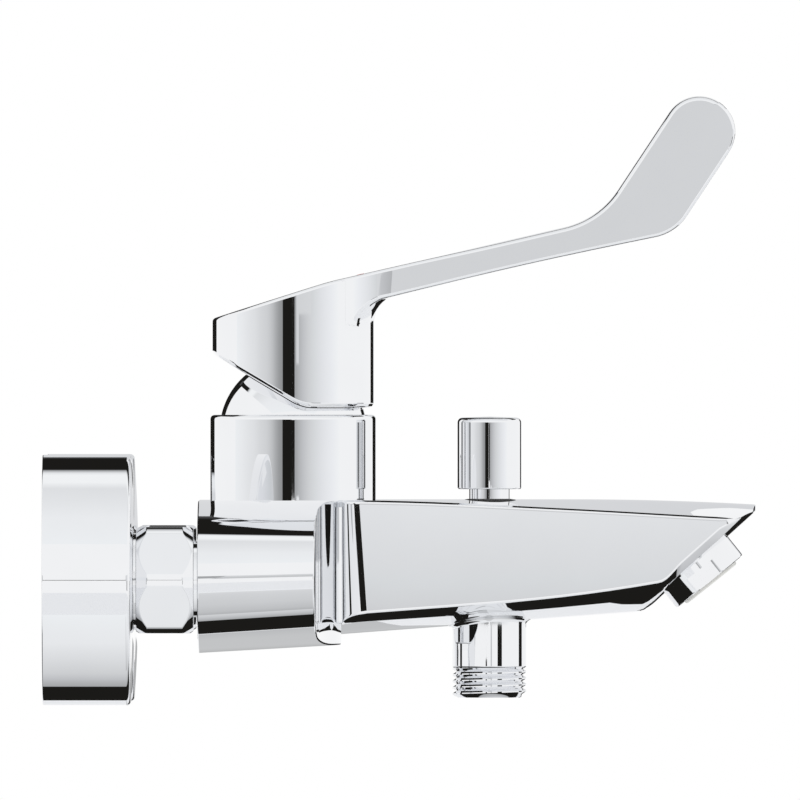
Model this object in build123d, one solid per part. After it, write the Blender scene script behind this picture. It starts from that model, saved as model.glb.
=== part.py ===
from build123d import *
import math
import os

# Wall-mounted single-lever bath and shower mixer, in millimetres.
# Origin: on the wall plane, midway between the two inlets, at their height.
# +X leaves the wall, +Y runs from the hot to the cold inlet, +Z is up.

# Pipe threads, drawn at their outside diameter
half_inch_thread = 20.955
three_quarter_thread = 26.441
thread_clearance = 0.05

# Reach of the tools that cut or trim, well past the part
far_reach = 60.0

# Wall supply
supply_pitch = 150.0
union_offset = 7.5
union_wall_gap = 0.5
union_wall_thread_length = 11.5
union_crank_length = 6.0
union_thread_length = 17.5
union_waterway = 14.0
gasket_thickness = 2.0
gasket_bore = 15.0

# Roses
rose_diameter = 70.7
rose_depth = 24.9
rose_crown = 1.1
rose_crown_half_way = 0.825
rose_wall = 1.3
rose_edge_radius = 1.3
rose_clearance = 0.25

# Union nuts and inlet nipples
nut_across_flats = 30.0
nut_corner_diameter = 32.9
nut_back_overlap = 9.2
nut_shoulder = 2.6
nut_end_chamfer = 1.5
nut_chamfer_angle = 30.0
nut_shoulder_clearance = 0.3
nipple_diameter = 20.9
nipple_flange_diameter = 24.4
nipple_flange_thickness = 2.5
nipple_gap_to_body = 1.0
nipple_insertion = 12.0
nipple_waterway = 13.5

# Cross-body
body_top = 22.4
body_bottom_rear = 20.9
body_bottom_rise = 0.0568
body_centre_half_width = 24.0
arm_shoulder_drop = 3.4
arm_shoulder_inset = 14.0
nose_radius_rear = 14.6
nose_radius_front = 12.7
nose_rise_rear = 0.5
nose_rise_front = 1.5
nose_arc_half_angle = 60.0
arm_depth = 33.8
arm_end_taper = 1.2
body_centre_depth = 40.5
sweep_half_width = 60.0

# Turret
turret_setback = 26.85
turret_base_diameter = 47.2
turret_top_diameter = 46.8
turret_height = 24.2
turret_rim_radius = 1.2

# Spout
spout_reach = 201.8
spout_top = 22.6
spout_root_half_width = 23.3
spout_tip_half_width = 17.5
spout_trim_margin = 4.0
spout_tip_bow = 6.0
spout_root_radius = 4.3
spout_side_fall_root = 0.7
spout_side_fall_tip = 4.4
spout_tip_droop = 1.5
spout_droop_length = 51.8
spout_bottom_root = 15.7
spout_bottom_rise = 0.0748
spout_under_crown = 5.6
spout_under_crown_growth = 0.00104
spout_lip_height = 2.1
spout_face_angle = 41.95
spout_face_crown_radius = 96.0
spout_stations = (0, 0.22, 0.44, 0.64, 0.8, 0.92, 1.04)

# Aerator
aerator_angle = 51.4
aerator_from_tip = 22.5
aerator_diameter = 24.0
aerator_face_drop = 0.8
aerator_visible_length = 6.0
aerator_thread_diameter = 21.6
aerator_thread_length = 8.0
aerator_bore = 18.4
aerator_flat_width = 22.0
aerator_flat_length = 4.6
aerator_insert_proud = 0.9
aerator_insert_length = 10.5
aerator_seal_thickness = 1.6
aerator_seal_bore = 16.4

# Cartridge
cartridge_diameter = 34.8
cartridge_clearance = 0.25
base_thickness = 4.0
housing_shoulder_below_pivot = 5.0
housing_neck_diameter = 27.2
housing_neck_height = 9.0
housing_cavity_diameter = 29.0
port_diameter = 7.0
inlet_port_back = 6.45
inlet_port_side = 7.0
outlet_port_forward = 9.05
fixed_disc_diameter = 26.4
fixed_disc_thickness = 3.5
moving_disc_diameter = 19.0
moving_disc_thickness = 3.45
mixing_pocket_depth = 1.6
mixing_pocket_diameter = 15.0
carrier_diameter = 21.0
carrier_height = 5.5
carrier_socket_room = 0.3
cavity_below_pivot = 8.6
carrier_below_pivot = 16.0
running_clearance = 0.05
seal_ring_section = 1.2
peg_diameter = 4.0
peg_length = 3.0
peg_hole_extra = 0.3

# Swivel and spindle
pivot_height = 42.0
spindle_lean = 12.5
spindle_square = 8.0
spindle_length = 31.0
spindle_arm = 12.0
spindle_ball_radius = 3.2
spindle_neck_radius = 2.4
spindle_square_below = 5.0
swivel_diameter = 22.1
swivel_flange_diameter = 28.4
swivel_flange_thickness = 1.3
swivel_slot_clearance = 0.08
swivel_slot_length = 14.4
pin_diameter = 3.0
pin_length = 21.6
stop_ring_gap = 0.6
stop_ring_thickness = 1.8
stop_ring_diameter = 25.0
clamp_nut_thread = 38.0
clamp_nut_bore = 28.0
clamp_nut_height = 6.4
clamp_nut_collar = 35.0
clamp_nut_slot_depth = 3.0
clamp_nut_below_ledge = 0.1
clamp_nut_slot = 4.0
clamp_nut_slots = 6

# Dome cover
dome_radius = 20.9
dome_wall = 1.1
dome_skirt = 1.5
dome_hole_diameter = 25.0
dome_clearance = 0.2

# Lever
hub_diameter = 45.8
hub_skirt_gap = 2.1
hub_rear_height = 31.9
hub_rear_low = 21.8
hub_rear_cut_angle = 30.6
hub_rear_corner_radius = 0.8
hub_cut_radius = 6.0
hub_ridge_radius = 60.0
hub_cavity_radius = 21.3
arm_top_height = 84.3
arm_top_from_axis = 10.05
arm_top_angle = 13.06
arm_thickness = 8.0
arm_under_angle = 12.72
paddle_angle = 56.5
paddle_width = 20.4
paddle_end_flat = 0.2
paddle_end_from_axis = 115.35
paddle_end_height = 126.9
arm_root_half_width = 12.4
arm_end_half_width = 7.0
arm_root_blend = 8.0
arm_start = 4.0
elbow_inner_radius = 14.0
elbow_outer_radius = 25.0
spindle_socket_clearance = 0.05
grub_screw_diameter = 5.0
grub_screw_length = 9.0
grub_screw_height = 24.0
grub_hex = 2.5

# Hot and cold indicator
indicator_from_axis = 19.15
indicator_width = 2.0
indicator_length = 7.0
indicator_depth = 1.2
indicator_proud = 0.15

# Diverter
diverter_from_wall = 126.2
knob_diameter = 18.1
knob_bottom = 25.5
knob_height = 20.6
knob_edge_radius = 1.4
knob_cavity_clearance = 0.3
neck_diameter = 11.45
neck_above_knob_base = 12.0
guide_thread_diameter = 17.0
guide_thread_length = 8.0
guide_flange_diameter = 17.6
guide_flange_thickness = 1.3
guide_flange_sink = 0.3
spring_chamber_diameter = 8.6
guide_web = 2.5
rod_diameter = 4.0
rod_clearance = 0.06
rod_above_neck = 6.0
oring_section = 1.8
collar_diameter = 7.8
collar_thickness = 1.2
spring_wire = 0.8
spring_coils = 7
spring_end_gap = 0.1
diverter_stroke = 8.0
valve_gap = 0.3
valve_disc_diameter = 14.8
valve_disc_thickness = 3.2
valve_chamber_diameter = 18.4
upper_seat_thickness = 2.0
upper_seat_hole = 12.4
bath_channel_diameter = 6.8
bath_channel_overlap = 2.0
valve_seat_below_channel = 6.0

# Shower outlet
outlet_length = 20.8
outlet_spigot = 3.9
outlet_seat_thickness = 3.0
outlet_seat_hole = 11.0
outlet_bore = 15.2
outlet_boss_diameter = 24.6
outlet_boss_drop = 1.5
outlet_sink = 2.5
outlet_boss_margin = 0.4
outlet_shank_diameter = 20.5
outlet_undercut = 0.5
check_valve_setback = 2.0
check_valve_length = 13.5
check_cage_wall = 1.0
check_cage_web = 1.6
check_spoke_width = 2.0
check_seat_hole = 8.0
poppet_diameter = 10.0
poppet_thickness = 2.6
poppet_stem_diameter = 3.0
poppet_stroke = 3.0
poppet_seat_gap = 0.05
stem_guide_wall = 1.0
stem_guide_height = 5.2
check_spring_wire = 0.6
check_spring_radius = 3.2
check_spring_coils = 4

# Waterways
supply_channel_diameter = 10.0
supply_channel_from_wall = 60.0
mixed_channel_diameter = 9.0
mixed_channel_height = -0.5

# Places worked out from the sizes above
inlet_sides = {"hot": -supply_pitch / 2, "cold": supply_pitch / 2}
union_crank_start = union_wall_gap + union_wall_thread_length
union_thread_start = union_crank_start + union_crank_length
union_end = union_thread_start + union_thread_length
flange_start = union_end + gasket_thickness
flange_end = flange_start + nipple_flange_thickness
nut_start = union_end - nut_back_overlap
nut_end = flange_end + nut_shoulder
body_rear = nut_end + nipple_gap_to_body
body_front = body_rear + body_centre_depth
arm_front = body_rear + arm_depth
turret_x = body_rear + turret_setback
turret_top = body_top + turret_height
carrier_base = pivot_height - carrier_below_pivot
disc_plane = carrier_base - moving_disc_thickness - running_clearance
seal_face = disc_plane - fixed_disc_thickness
cartridge_seat = seal_face - base_thickness
shoulder_height = pivot_height - housing_shoulder_below_pivot
carrier_top = carrier_base + carrier_height
cavity_ceiling = pivot_height - cavity_below_pivot
neck_top = shoulder_height + housing_neck_height
dome_ledge = pivot_height - dome_skirt
skirt_height = turret_top + hub_skirt_gap
hub_radius = hub_diameter / 2
valve_seat_height = mixed_channel_height - valve_seat_below_channel
valve_disc_base = valve_seat_height + valve_gap
upper_seat_height = valve_disc_base + valve_disc_thickness + diverter_stroke + valve_gap
bath_chamber_height = upper_seat_height + upper_seat_thickness
guide_base = spout_top - guide_flange_sink - guide_thread_length
guide_top = knob_bottom + neck_above_knob_base
spring_top = guide_top - guide_web
collar_base = guide_base + guide_web + oring_section
outlet_top = valve_seat_height - outlet_spigot
outlet_bottom = outlet_top - outlet_length - outlet_sink
outlet_boss_bottom = outlet_top - outlet_sink - outlet_boss_drop


def disc_x(radius, start, end, y=0.0, z=0.0):
    """A cylinder along X from start to end."""
    turned = Rot(0, 90, 0) * Cylinder(radius, end - start, align=(Align.CENTER, Align.CENTER, Align.MIN))
    return Pos(start, y, z) * turned


def disc_z(radius, bottom, top, x=0.0, y=0.0):
    """A cylinder along Z from bottom to top."""
    return Pos(x, y, bottom) * Cylinder(radius, top - bottom, align=(Align.CENTER, Align.CENTER, Align.MIN))


def ring_x(outer, inner, start, end, y=0.0, z=0.0):
    """A tube along X."""
    return disc_x(outer, start, end, y, z) - disc_x(inner, start, end, y, z)


def ring_z(outer, inner, bottom, top, x=0.0, y=0.0):
    """A tube along Z."""
    return disc_z(outer, bottom, top, x, y) - disc_z(inner, bottom, top, x, y)


def channel_y(radius, start, end, x, z):
    """A round channel along Y."""
    turned = Rot(-90, 0, 0) * Cylinder(radius, end - start, align=(Align.CENTER, Align.CENTER, Align.MIN))
    return Pos(x, start, z) * turned


def turned_about_x(outline, y):
    """Spin an outline of (x, radius) points about the inlet axis at y."""
    face = make_face(Plane.XZ * Polyline(*outline, close=True))
    return Pos(0, y, 0) * revolve(face, Axis.X)


def turned_about_z(outline, x):
    """Spin an outline of (radius, z) points about the vertical axis at x."""
    face = make_face(Plane.XZ * Polyline(*outline, close=True))
    return Pos(x, 0, 0) * revolve(face, Axis.Z)


# Wall supply
def escutcheon(y):
    """A cup-shaped rose with a slightly crowned front, bored for the union."""
    radius = rose_diameter / 2
    bore = three_quarter_thread / 2 + rose_clearance
    edge = rose_edge_radius
    corner = radius - edge
    slope = edge * math.sin(math.radians(45))
    back = Plane.XZ * Line((0, 0, 0), (0, radius, 0))
    outside = Plane.XZ * Line((0, radius, 0), (rose_depth - edge, radius, 0))
    rounding = Plane.XZ * ThreePointArc(
        (rose_depth - edge, radius, 0),
        (rose_depth - edge + slope, corner + slope, 0),
        (rose_depth, corner, 0),
    )
    crown = Plane.XZ * ThreePointArc(
        (rose_depth, corner, 0),
        (rose_depth + rose_crown_half_way, corner / 2, 0),
        (rose_depth + rose_crown, 0, 0),
    )
    axis_line = Plane.XZ * Line((rose_depth + rose_crown, 0, 0), (0, 0, 0))
    solid = revolve(make_face([back, outside, rounding, crown, axis_line]), Axis.X)
    hollow = disc_x(radius - rose_wall, 0, rose_depth - rose_wall)
    hole = disc_x(bore, 0, rose_depth + 2 * rose_crown)
    return Pos(0, y, 0) * (solid - hollow - hole)


def cranked_tube(radius_wall, radius_nut, start, end, y):
    """Wall thread, sloping crank and nut thread, as one cranked solid."""
    wall_end = disc_x(radius_wall, start, union_crank_start, y, -union_offset)
    near = Plane.YZ.offset(union_crank_start) * Pos(y, -union_offset) * Circle(radius_wall)
    far = Plane.YZ.offset(union_thread_start) * Pos(y, 0) * Circle(radius_nut)
    nut_side = disc_x(radius_nut, union_thread_start, end, y, 0)
    return wall_end + loft([near, far]) + nut_side


def s_union(y):
    """Eccentric union from the wall's thread to the nut's thread."""
    outside = cranked_tube(half_inch_thread / 2, three_quarter_thread / 2, union_wall_gap, union_end, y)
    waterway = cranked_tube(union_waterway / 2, union_waterway / 2, union_wall_gap, union_end, y)
    return outside - waterway


def union_gasket(y):
    """Flat ring between the union's end and the inlet nipple's flange."""
    return ring_x(nipple_flange_diameter / 2, gasket_bore / 2, union_end, flange_start, y)


def inlet_nipple(y):
    """Flanged nipple screwed into the body and held by the nut."""
    flange = disc_x(nipple_flange_diameter / 2, flange_start, flange_end, y)
    neck = disc_x(nipple_diameter / 2, flange_end, body_rear + nipple_insertion, y)
    waterway = disc_x(nipple_waterway / 2, flange_start, body_rear + nipple_insertion, y)
    return flange + neck - waterway


def union_nut(y):
    """Hexagonal nut with turned corners, a threaded bore and a shoulder."""
    length = nut_end - nut_start
    hexagon = RegularPolygon(nut_across_flats / 2, 6, major_radius=False)
    prism = extrude(Plane.YZ.offset(nut_start) * Pos(y, 0) * hexagon, length)
    radius = nut_corner_diameter / 2
    step = nut_end_chamfer / math.tan(math.radians(nut_chamfer_angle))
    turning = turned_about_x(
        [
            (nut_start, 0),
            (nut_start, radius - step),
            (nut_start + nut_end_chamfer, radius),
            (nut_end - nut_end_chamfer, radius),
            (nut_end, radius - step),
            (nut_end, 0),
        ],
        y,
    )
    thread = disc_x(three_quarter_thread / 2 + thread_clearance, nut_start, flange_end, y)
    shoulder = disc_x(nipple_diameter / 2 + nut_shoulder_clearance, nut_start, nut_end, y)
    return (prism & turning) - thread - shoulder


# Casting
def body_section(x, nose_radius, nose_rise):
    """Front outline of the cross-body at x: level centre, falling flanks, round noses."""
    bottom = -body_bottom_rear + body_bottom_rise * (x - body_rear)
    nose_y = supply_pitch / 2
    side = math.radians(nose_arc_half_angle)
    reach = nose_radius * math.cos(side)
    lift = nose_radius * math.sin(side)
    shoulder_y = nose_y - arm_shoulder_inset
    top_shoulder = body_top - arm_shoulder_drop
    low_shoulder = bottom + arm_shoulder_drop
    edges = []
    for hand in (1, -1):
        inner_top = (hand * body_centre_half_width, body_top)
        outer_top = (hand * (nose_y + reach), nose_rise + lift)
        inner_low = (hand * body_centre_half_width, bottom)
        outer_low = (hand * (nose_y + reach), nose_rise - lift)
        away = (hand * math.sin(side), -math.cos(side))
        away_low = (hand * math.sin(side), math.cos(side))
        top_flank = Spline(
            inner_top, (hand * shoulder_y, top_shoulder), outer_top, tangents=[(hand, 0), away]
        )
        nose = ThreePointArc(outer_top, (hand * (nose_y + nose_radius), nose_rise), outer_low)
        low_flank = Spline(
            inner_low, (hand * shoulder_y, low_shoulder), outer_low, tangents=[(hand, 0), away_low]
        )
        edges += [top_flank, nose, low_flank]
    edges.append(Line((-body_centre_half_width, body_top), (body_centre_half_width, body_top)))
    edges.append(Line((-body_centre_half_width, bottom), (body_centre_half_width, bottom)))
    return Plane.YZ.offset(x) * make_face(edges)


def cross_body():
    """Bar between the inlets, drawn forward in a shallow sweep to meet the spout."""
    rear = body_section(body_rear, nose_radius_rear, nose_rise_rear)
    front = body_section(body_front, nose_radius_front, nose_rise_front)
    bar = loft([rear, front], ruled=True)
    end_y = supply_pitch / 2 + 2 * nose_radius_rear
    root_y = spout_root_half_width - spout_root_radius
    sweep = body_front - arm_front
    run = sweep_half_width - root_y
    sweep_radius = (run * run + sweep * sweep) / (2 * sweep)
    half_run = run / 2
    mid_x = arm_front + sweep_radius - math.sqrt(sweep_radius**2 - half_run**2)
    edges = [Line((body_rear, -end_y), (body_rear, end_y)), Line((body_front, -root_y), (body_front, root_y))]
    for hand in (1, -1):
        corner = (arm_front - arm_end_taper, hand * end_y)
        start = (arm_front, hand * sweep_half_width)
        middle = (mid_x, hand * (sweep_half_width - half_run))
        edges.append(Line((body_rear, hand * end_y), corner))
        edges.append(Line(corner, start))
        edges.append(ThreePointArc(start, middle, (body_front, hand * root_y)))
    plan = Plane.XY.offset(-far_reach) * make_face(edges)
    return bar & extrude(plan, 2 * far_reach)


def turret():
    """Tapered round housing for the cartridge, with a rounded rim."""
    cone = Cone(
        turret_base_diameter / 2,
        turret_top_diameter / 2,
        turret_height,
        align=(Align.CENTER, Align.CENTER, Align.MIN),
    )
    rounded = fillet(cone.edges().group_by(Axis.Z)[-1], turret_rim_radius)
    root = disc_z(turret_base_diameter / 2, -2, 0)
    return Pos(turret_x, 0, body_top) * (rounded + root)


def spout_half_width(x):
    """Half width of the spout in plan at x."""
    share = (x - body_front) / (spout_reach - spout_tip_bow - body_front)
    return spout_root_half_width + share * (spout_tip_half_width - spout_root_half_width)


def spout_section(x):
    """Cross-section of the spout at x: crowned top, plumb sides, crowned underside."""
    half = spout_half_width(x)
    wide = spout_root_half_width + spout_trim_margin
    spread = (wide / half) ** 2
    share = (x - body_front) / (spout_reach - spout_tip_bow - body_front)
    droop_start = spout_reach - spout_droop_length
    past = max(0.0, x - droop_start)
    top = spout_top - spout_tip_droop * (past / spout_droop_length) ** 2
    fall = spout_side_fall_root + share * (spout_side_fall_tip - spout_side_fall_root)
    top_side = top - fall * spread
    bottom = -spout_bottom_root + spout_bottom_rise * (x - body_front)
    growth_from = max(0.0, x - diverter_from_wall)
    crown = spout_under_crown + spout_under_crown_growth * growth_from**2
    bottom_side = min(bottom + crown * spread, top_side - 1)
    edges = [
        ThreePointArc((-wide, top_side), (0, top), (wide, top_side)),
        Line((wide, top_side), (wide, bottom_side)),
        ThreePointArc((wide, bottom_side), (0, bottom), (-wide, bottom_side)),
        Line((-wide, bottom_side), (-wide, top_side)),
    ]
    return Plane.YZ.offset(x) * make_face(edges)


def spout_plan():
    """Plan of the spout: rounded root, straight tapering sides, bowed front."""
    root = spout_root_half_width
    radius = spout_root_radius
    inner = root - radius
    tip = spout_tip_half_width
    corner_x = spout_reach - spout_tip_bow
    side_x = body_front + radius
    slope = radius * math.sin(math.radians(45))
    back = turret_x
    edges = [
        Line((back, -inner), (back, inner)),
        ThreePointArc((corner_x, -tip), (spout_reach, 0), (corner_x, tip)),
    ]
    for hand in (1, -1):
        edges.append(Line((back, hand * inner), (body_front, hand * inner)))
        edges.append(
            ThreePointArc(
                (body_front, hand * inner),
                (side_x - slope, hand * (inner + slope)),
                (side_x, hand * root),
            )
        )
        edges.append(Line((side_x, hand * root), (corner_x, hand * tip)))
    return make_face(edges)


def spout():
    """Spout blank: lofted crowns, trimmed to the plan and to the slanted nozzle face."""
    span = spout_reach - turret_x
    stations = [turret_x + span * share for share in spout_stations]
    blank = loft([spout_section(x) for x in stations])
    blank = blank & extrude(Plane.XY.offset(-far_reach) * spout_plan(), 2 * far_reach)
    face_angle = math.radians(spout_face_angle)
    tip_height = spout_top - spout_tip_droop - spout_lip_height
    centre_x = spout_reach - spout_face_crown_radius * math.sin(face_angle)
    centre_z = tip_height + spout_face_crown_radius * math.cos(face_angle)
    drum = Cylinder(spout_face_crown_radius, 6 * spout_reach)
    keep = Pos(centre_x, 0, centre_z) * Rot(0, 90 - spout_face_angle, 0) * drum
    return blank & keep


def aerator_frame():
    """Frame whose origin is the middle of the nozzle's open end and whose Z points outwards."""
    face_angle = math.radians(spout_face_angle)
    tilt = math.radians(aerator_angle)
    tip_height = spout_top - spout_tip_droop - spout_lip_height
    face_x = spout_reach - aerator_from_tip * math.cos(face_angle)
    face_z = tip_height - aerator_from_tip * math.sin(face_angle)
    out_x = math.cos(tilt)
    out_z = -math.sin(tilt)
    centre = (
        face_x + aerator_visible_length * out_x,
        0,
        face_z + aerator_visible_length * out_z,
    )
    return Plane(origin=centre, x_dir=(0, 1, 0), z_dir=(out_x, 0, out_z))


def along_aerator(radius, near, far):
    """A cylinder on the nozzle's axis, between two depths behind its open end."""
    plane = aerator_frame().offset(-far)
    return extrude(plane * Circle(radius), far - near)


def body_casting():
    """The whole casting with its chambers, seats and waterways."""
    solid = cross_body() + turret() + spout()
    boss = turned_about_z(
        [
            (0, outlet_top),
            (outlet_boss_diameter / 2, outlet_top),
            (outlet_boss_diameter / 2, outlet_top - outlet_sink),
            (half_inch_thread / 2 + outlet_boss_margin, outlet_boss_bottom),
            (0, outlet_boss_bottom),
        ],
        diverter_from_wall,
    )
    solid += boss
    for y in inlet_sides.values():
        solid -= disc_x(nipple_diameter / 2 + thread_clearance, body_rear, body_rear + nipple_insertion, y)
        solid -= disc_x(union_waterway / 2, body_rear, supply_channel_from_wall + 1, y)
    for hand in (-1, 1):
        inner = hand * (inlet_port_side - supply_channel_diameter / 2)
        outer = hand * supply_pitch / 2
        low, high = sorted((inner, outer))
        solid -= channel_y(supply_channel_diameter / 2, low, high, supply_channel_from_wall, 0)
        port_x = turret_x - inlet_port_back
        solid -= disc_z(port_diameter / 2, 0, cartridge_seat, port_x, hand * inlet_port_side)
    chamber = cartridge_diameter / 2 + cartridge_clearance
    thread = clamp_nut_thread / 2 + thread_clearance
    dome_bore = dome_radius + dome_clearance
    solid -= disc_z(chamber, cartridge_seat, turret_top, turret_x)
    solid -= disc_z(thread, shoulder_height - 0.5, turret_top, turret_x)
    solid -= disc_z(dome_bore, dome_ledge, turret_top, turret_x)
    for hand in (-1, 1):
        solid -= disc_z(
            peg_diameter / 2 + thread_clearance,
            cartridge_seat - peg_length - peg_hole_extra,
            cartridge_seat,
            turret_x,
            hand * (cartridge_diameter / 2 - peg_diameter),
        )
    outlet_x = turret_x + outlet_port_forward
    solid -= disc_z(port_diameter / 2, mixed_channel_height, cartridge_seat, outlet_x)
    solid -= disc_x(
        mixed_channel_diameter / 2,
        outlet_x - mixed_channel_diameter / 2,
        diverter_from_wall,
        0,
        mixed_channel_height,
    )
    solid -= disc_z(valve_chamber_diameter / 2, outlet_top, upper_seat_height, diverter_from_wall)
    shank_bore = outlet_shank_diameter / 2 + thread_clearance
    solid -= disc_z(shank_bore, -far_reach, outlet_top, diverter_from_wall)
    solid -= disc_z(upper_seat_hole / 2, upper_seat_height, bath_chamber_height, diverter_from_wall)
    guide_bore = guide_thread_diameter / 2 + thread_clearance
    solid -= disc_z(guide_bore, bath_chamber_height, far_reach, diverter_from_wall)
    flange_base = spout_top - guide_flange_sink - guide_flange_thickness
    flange_bore = guide_flange_diameter / 2 + thread_clearance
    solid -= disc_z(flange_bore, flange_base, far_reach, diverter_from_wall)
    port_depth = aerator_visible_length + aerator_thread_length + aerator_seal_thickness
    solid -= along_aerator(aerator_thread_diameter / 2 + thread_clearance, -far_reach, port_depth)
    deep = aerator_frame().offset(-port_depth).origin
    channel_height = (bath_chamber_height + guide_base) / 2
    channel_end = deep.X + bath_channel_overlap
    solid -= disc_x(bath_channel_diameter / 2, diverter_from_wall, channel_end, 0, channel_height)
    return solid


# Cartridge
def port_holes(bottom, top):
    """The two inlet ports and the outlet port, as solids to cut with."""
    holes = disc_z(port_diameter / 2, bottom, top, turret_x + outlet_port_forward)
    for hand in (-1, 1):
        holes += disc_z(
            port_diameter / 2, bottom, top, turret_x - inlet_port_back, hand * inlet_port_side
        )
    return holes


def port_places():
    """Centres of the three ports."""
    inlets = [(turret_x - inlet_port_back, hand * inlet_port_side) for hand in (-1, 1)]
    return inlets + [(turret_x + outlet_port_forward, 0)]


def cartridge_base():
    """Base plate with ports, seal recesses and locating pegs."""
    plate = disc_z(cartridge_diameter / 2, cartridge_seat, seal_face, turret_x)
    plate -= port_holes(cartridge_seat, seal_face)
    for x, y in port_places():
        recess = port_diameter / 2 + seal_ring_section
        plate -= disc_z(recess, cartridge_seat, cartridge_seat + seal_ring_section, x, y)
    for hand in (-1, 1):
        plate += disc_z(
            peg_diameter / 2,
            cartridge_seat - peg_length,
            cartridge_seat,
            turret_x,
            hand * (cartridge_diameter / 2 - peg_diameter),
        )
    return plate


def cartridge_seals():
    """The three port seals, a ring in each recess."""
    rings = [
        ring_z(
            port_diameter / 2 + seal_ring_section,
            port_diameter / 2,
            cartridge_seat,
            cartridge_seat + seal_ring_section,
            x,
            y,
        )
        for x, y in port_places()
    ]
    return Compound(children=rings)


def ceramic_disc_fixed():
    """Ported disc that stands still on the base."""
    disc = disc_z(fixed_disc_diameter / 2, seal_face, disc_plane, turret_x)
    return disc - port_holes(seal_face, disc_plane)


def shutter_x():
    """Where the sliding disc stands at rest, with the spindle leaning forward."""
    return turret_x - spindle_arm * math.sin(math.radians(spindle_lean))


def ceramic_disc_moving():
    """Sliding disc with the blind pocket that mixes hot and cold."""
    base = disc_plane + running_clearance
    disc = disc_z(moving_disc_diameter / 2, base, carrier_base, shutter_x())
    return disc - disc_z(mixing_pocket_diameter / 2, base, base + mixing_pocket_depth, shutter_x())


def disc_carrier():
    """Carrier on the sliding disc, with a socket for the spindle's ball."""
    carrier = disc_z(carrier_diameter / 2, carrier_base, carrier_top, shutter_x())
    ball_low = pivot_height - spindle_arm - spindle_ball_radius
    socket = disc_z(
        spindle_ball_radius + running_clearance,
        ball_low - carrier_socket_room,
        carrier_top,
        shutter_x(),
    )
    return carrier - socket


def cartridge_housing():
    """Housing over the discs, with a shoulder for the clamp nut and a bored neck."""
    drum = disc_z(cartridge_diameter / 2, seal_face, shoulder_height, turret_x)
    neck = disc_z(housing_neck_diameter / 2, shoulder_height, neck_top, turret_x)
    cavity = disc_z(housing_cavity_diameter / 2, seal_face, cavity_ceiling, turret_x)
    bore = disc_z(swivel_diameter / 2 + 2 * running_clearance, cavity_ceiling, neck_top, turret_x)
    return drum + neck - cavity - bore


def cartridge_swivel():
    """Swivel collar that turns in the housing's neck and carries the spindle's pin."""
    flange_top = cavity_ceiling - 2 * running_clearance
    flange = disc_z(
        swivel_flange_diameter / 2, flange_top - swivel_flange_thickness, flange_top, turret_x
    )
    barrel = disc_z(swivel_diameter / 2, flange_top, neck_top + stop_ring_gap, turret_x)
    slot = Pos(turret_x, 0, pivot_height) * Box(
        swivel_slot_length, spindle_square + 2 * swivel_slot_clearance, far_reach
    )
    pin_hole = channel_y(pin_diameter / 2, -far_reach, far_reach, turret_x, pivot_height)
    return flange + barrel - slot - pin_hole


def spindle_pin():
    """Cross pin that the spindle tilts on."""
    return channel_y(pin_diameter / 2, -pin_length / 2, pin_length / 2, turret_x, pivot_height)


def spindle_place():
    """Place and lean of the spindle at rest: leaning forward by half its travel."""
    return Pos(turret_x, 0, pivot_height) * Rot(0, spindle_lean, 0)


def spindle():
    """Square spindle with a round arm and ball below its pin."""
    bar_length = spindle_length + spindle_square_below
    bar = Pos(0, 0, -spindle_square_below) * Box(
        spindle_square, spindle_square, bar_length, align=(Align.CENTER, Align.CENTER, Align.MIN)
    )
    arm = disc_z(spindle_neck_radius, -spindle_arm, -spindle_square_below)
    ball = Pos(0, 0, -spindle_arm) * Sphere(spindle_ball_radius)
    hole = channel_y(pin_diameter / 2 + running_clearance, -far_reach, far_reach, 0, 0)
    return spindle_place() * (bar + arm + ball - hole)


def temperature_stop():
    """Stop ring on the swivel's top, above the housing's neck."""
    bottom = neck_top + stop_ring_gap
    ring = disc_z(stop_ring_diameter / 2, bottom, bottom + stop_ring_thickness, turret_x)
    slot = Pos(turret_x, 0, pivot_height) * Box(
        swivel_slot_length, spindle_square + 2 * swivel_slot_clearance, far_reach
    )
    return ring - slot


def cartridge_clamp_nut():
    """Ring nut that clamps the cartridge, slotted on top for its key."""
    thread_top = dome_ledge - clamp_nut_below_ledge
    thread = disc_z(clamp_nut_thread / 2, shoulder_height, thread_top, turret_x)
    collar_top = shoulder_height + clamp_nut_height
    collar = disc_z(clamp_nut_collar / 2, thread_top, collar_top, turret_x)
    nut = thread + collar - disc_z(clamp_nut_bore / 2, shoulder_height, collar_top, turret_x)
    slot = Box(
        clamp_nut_collar, clamp_nut_slot, 2 * clamp_nut_slot_depth,
        align=(Align.MIN, Align.CENTER, Align.CENTER),
    )
    for turn in range(clamp_nut_slots):
        angle = 360 * turn / clamp_nut_slots
        nut -= Pos(turret_x, 0, collar_top) * Rot(0, 0, angle) * slot
    return nut


def dome_cover():
    """Thin spherical cover on the turret's ledge, open at the top for the spindle."""
    centre = Pos(turret_x, 0, pivot_height)
    outer = centre * Sphere(dome_radius) + disc_z(dome_radius, dome_ledge, pivot_height, turret_x)
    inner_radius = dome_radius - dome_wall
    inner = centre * Sphere(inner_radius) + disc_z(inner_radius, dome_ledge, pivot_height, turret_x)
    shell = outer - inner
    below = disc_z(2 * dome_radius, dome_ledge - 2 * dome_radius, dome_ledge, turret_x)
    hole = disc_z(dome_hole_diameter / 2, pivot_height, pivot_height + 2 * dome_radius, turret_x)
    return shell - below - hole


# Lever
def line_meet(point_a, angle_a, point_b, angle_b):
    """Where two lines in the XZ plane meet, each given by a point and an angle."""
    ax, az = point_a
    bx, bz = point_b
    a_cos, a_sin = math.cos(math.radians(angle_a)), math.sin(math.radians(angle_a))
    b_cos, b_sin = math.cos(math.radians(angle_b)), math.sin(math.radians(angle_b))
    along = ((bx - ax) * b_sin - (bz - az) * b_cos) / (a_cos * b_sin - a_sin * b_cos)
    return (ax + along * a_cos, az + along * a_sin)


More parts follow.
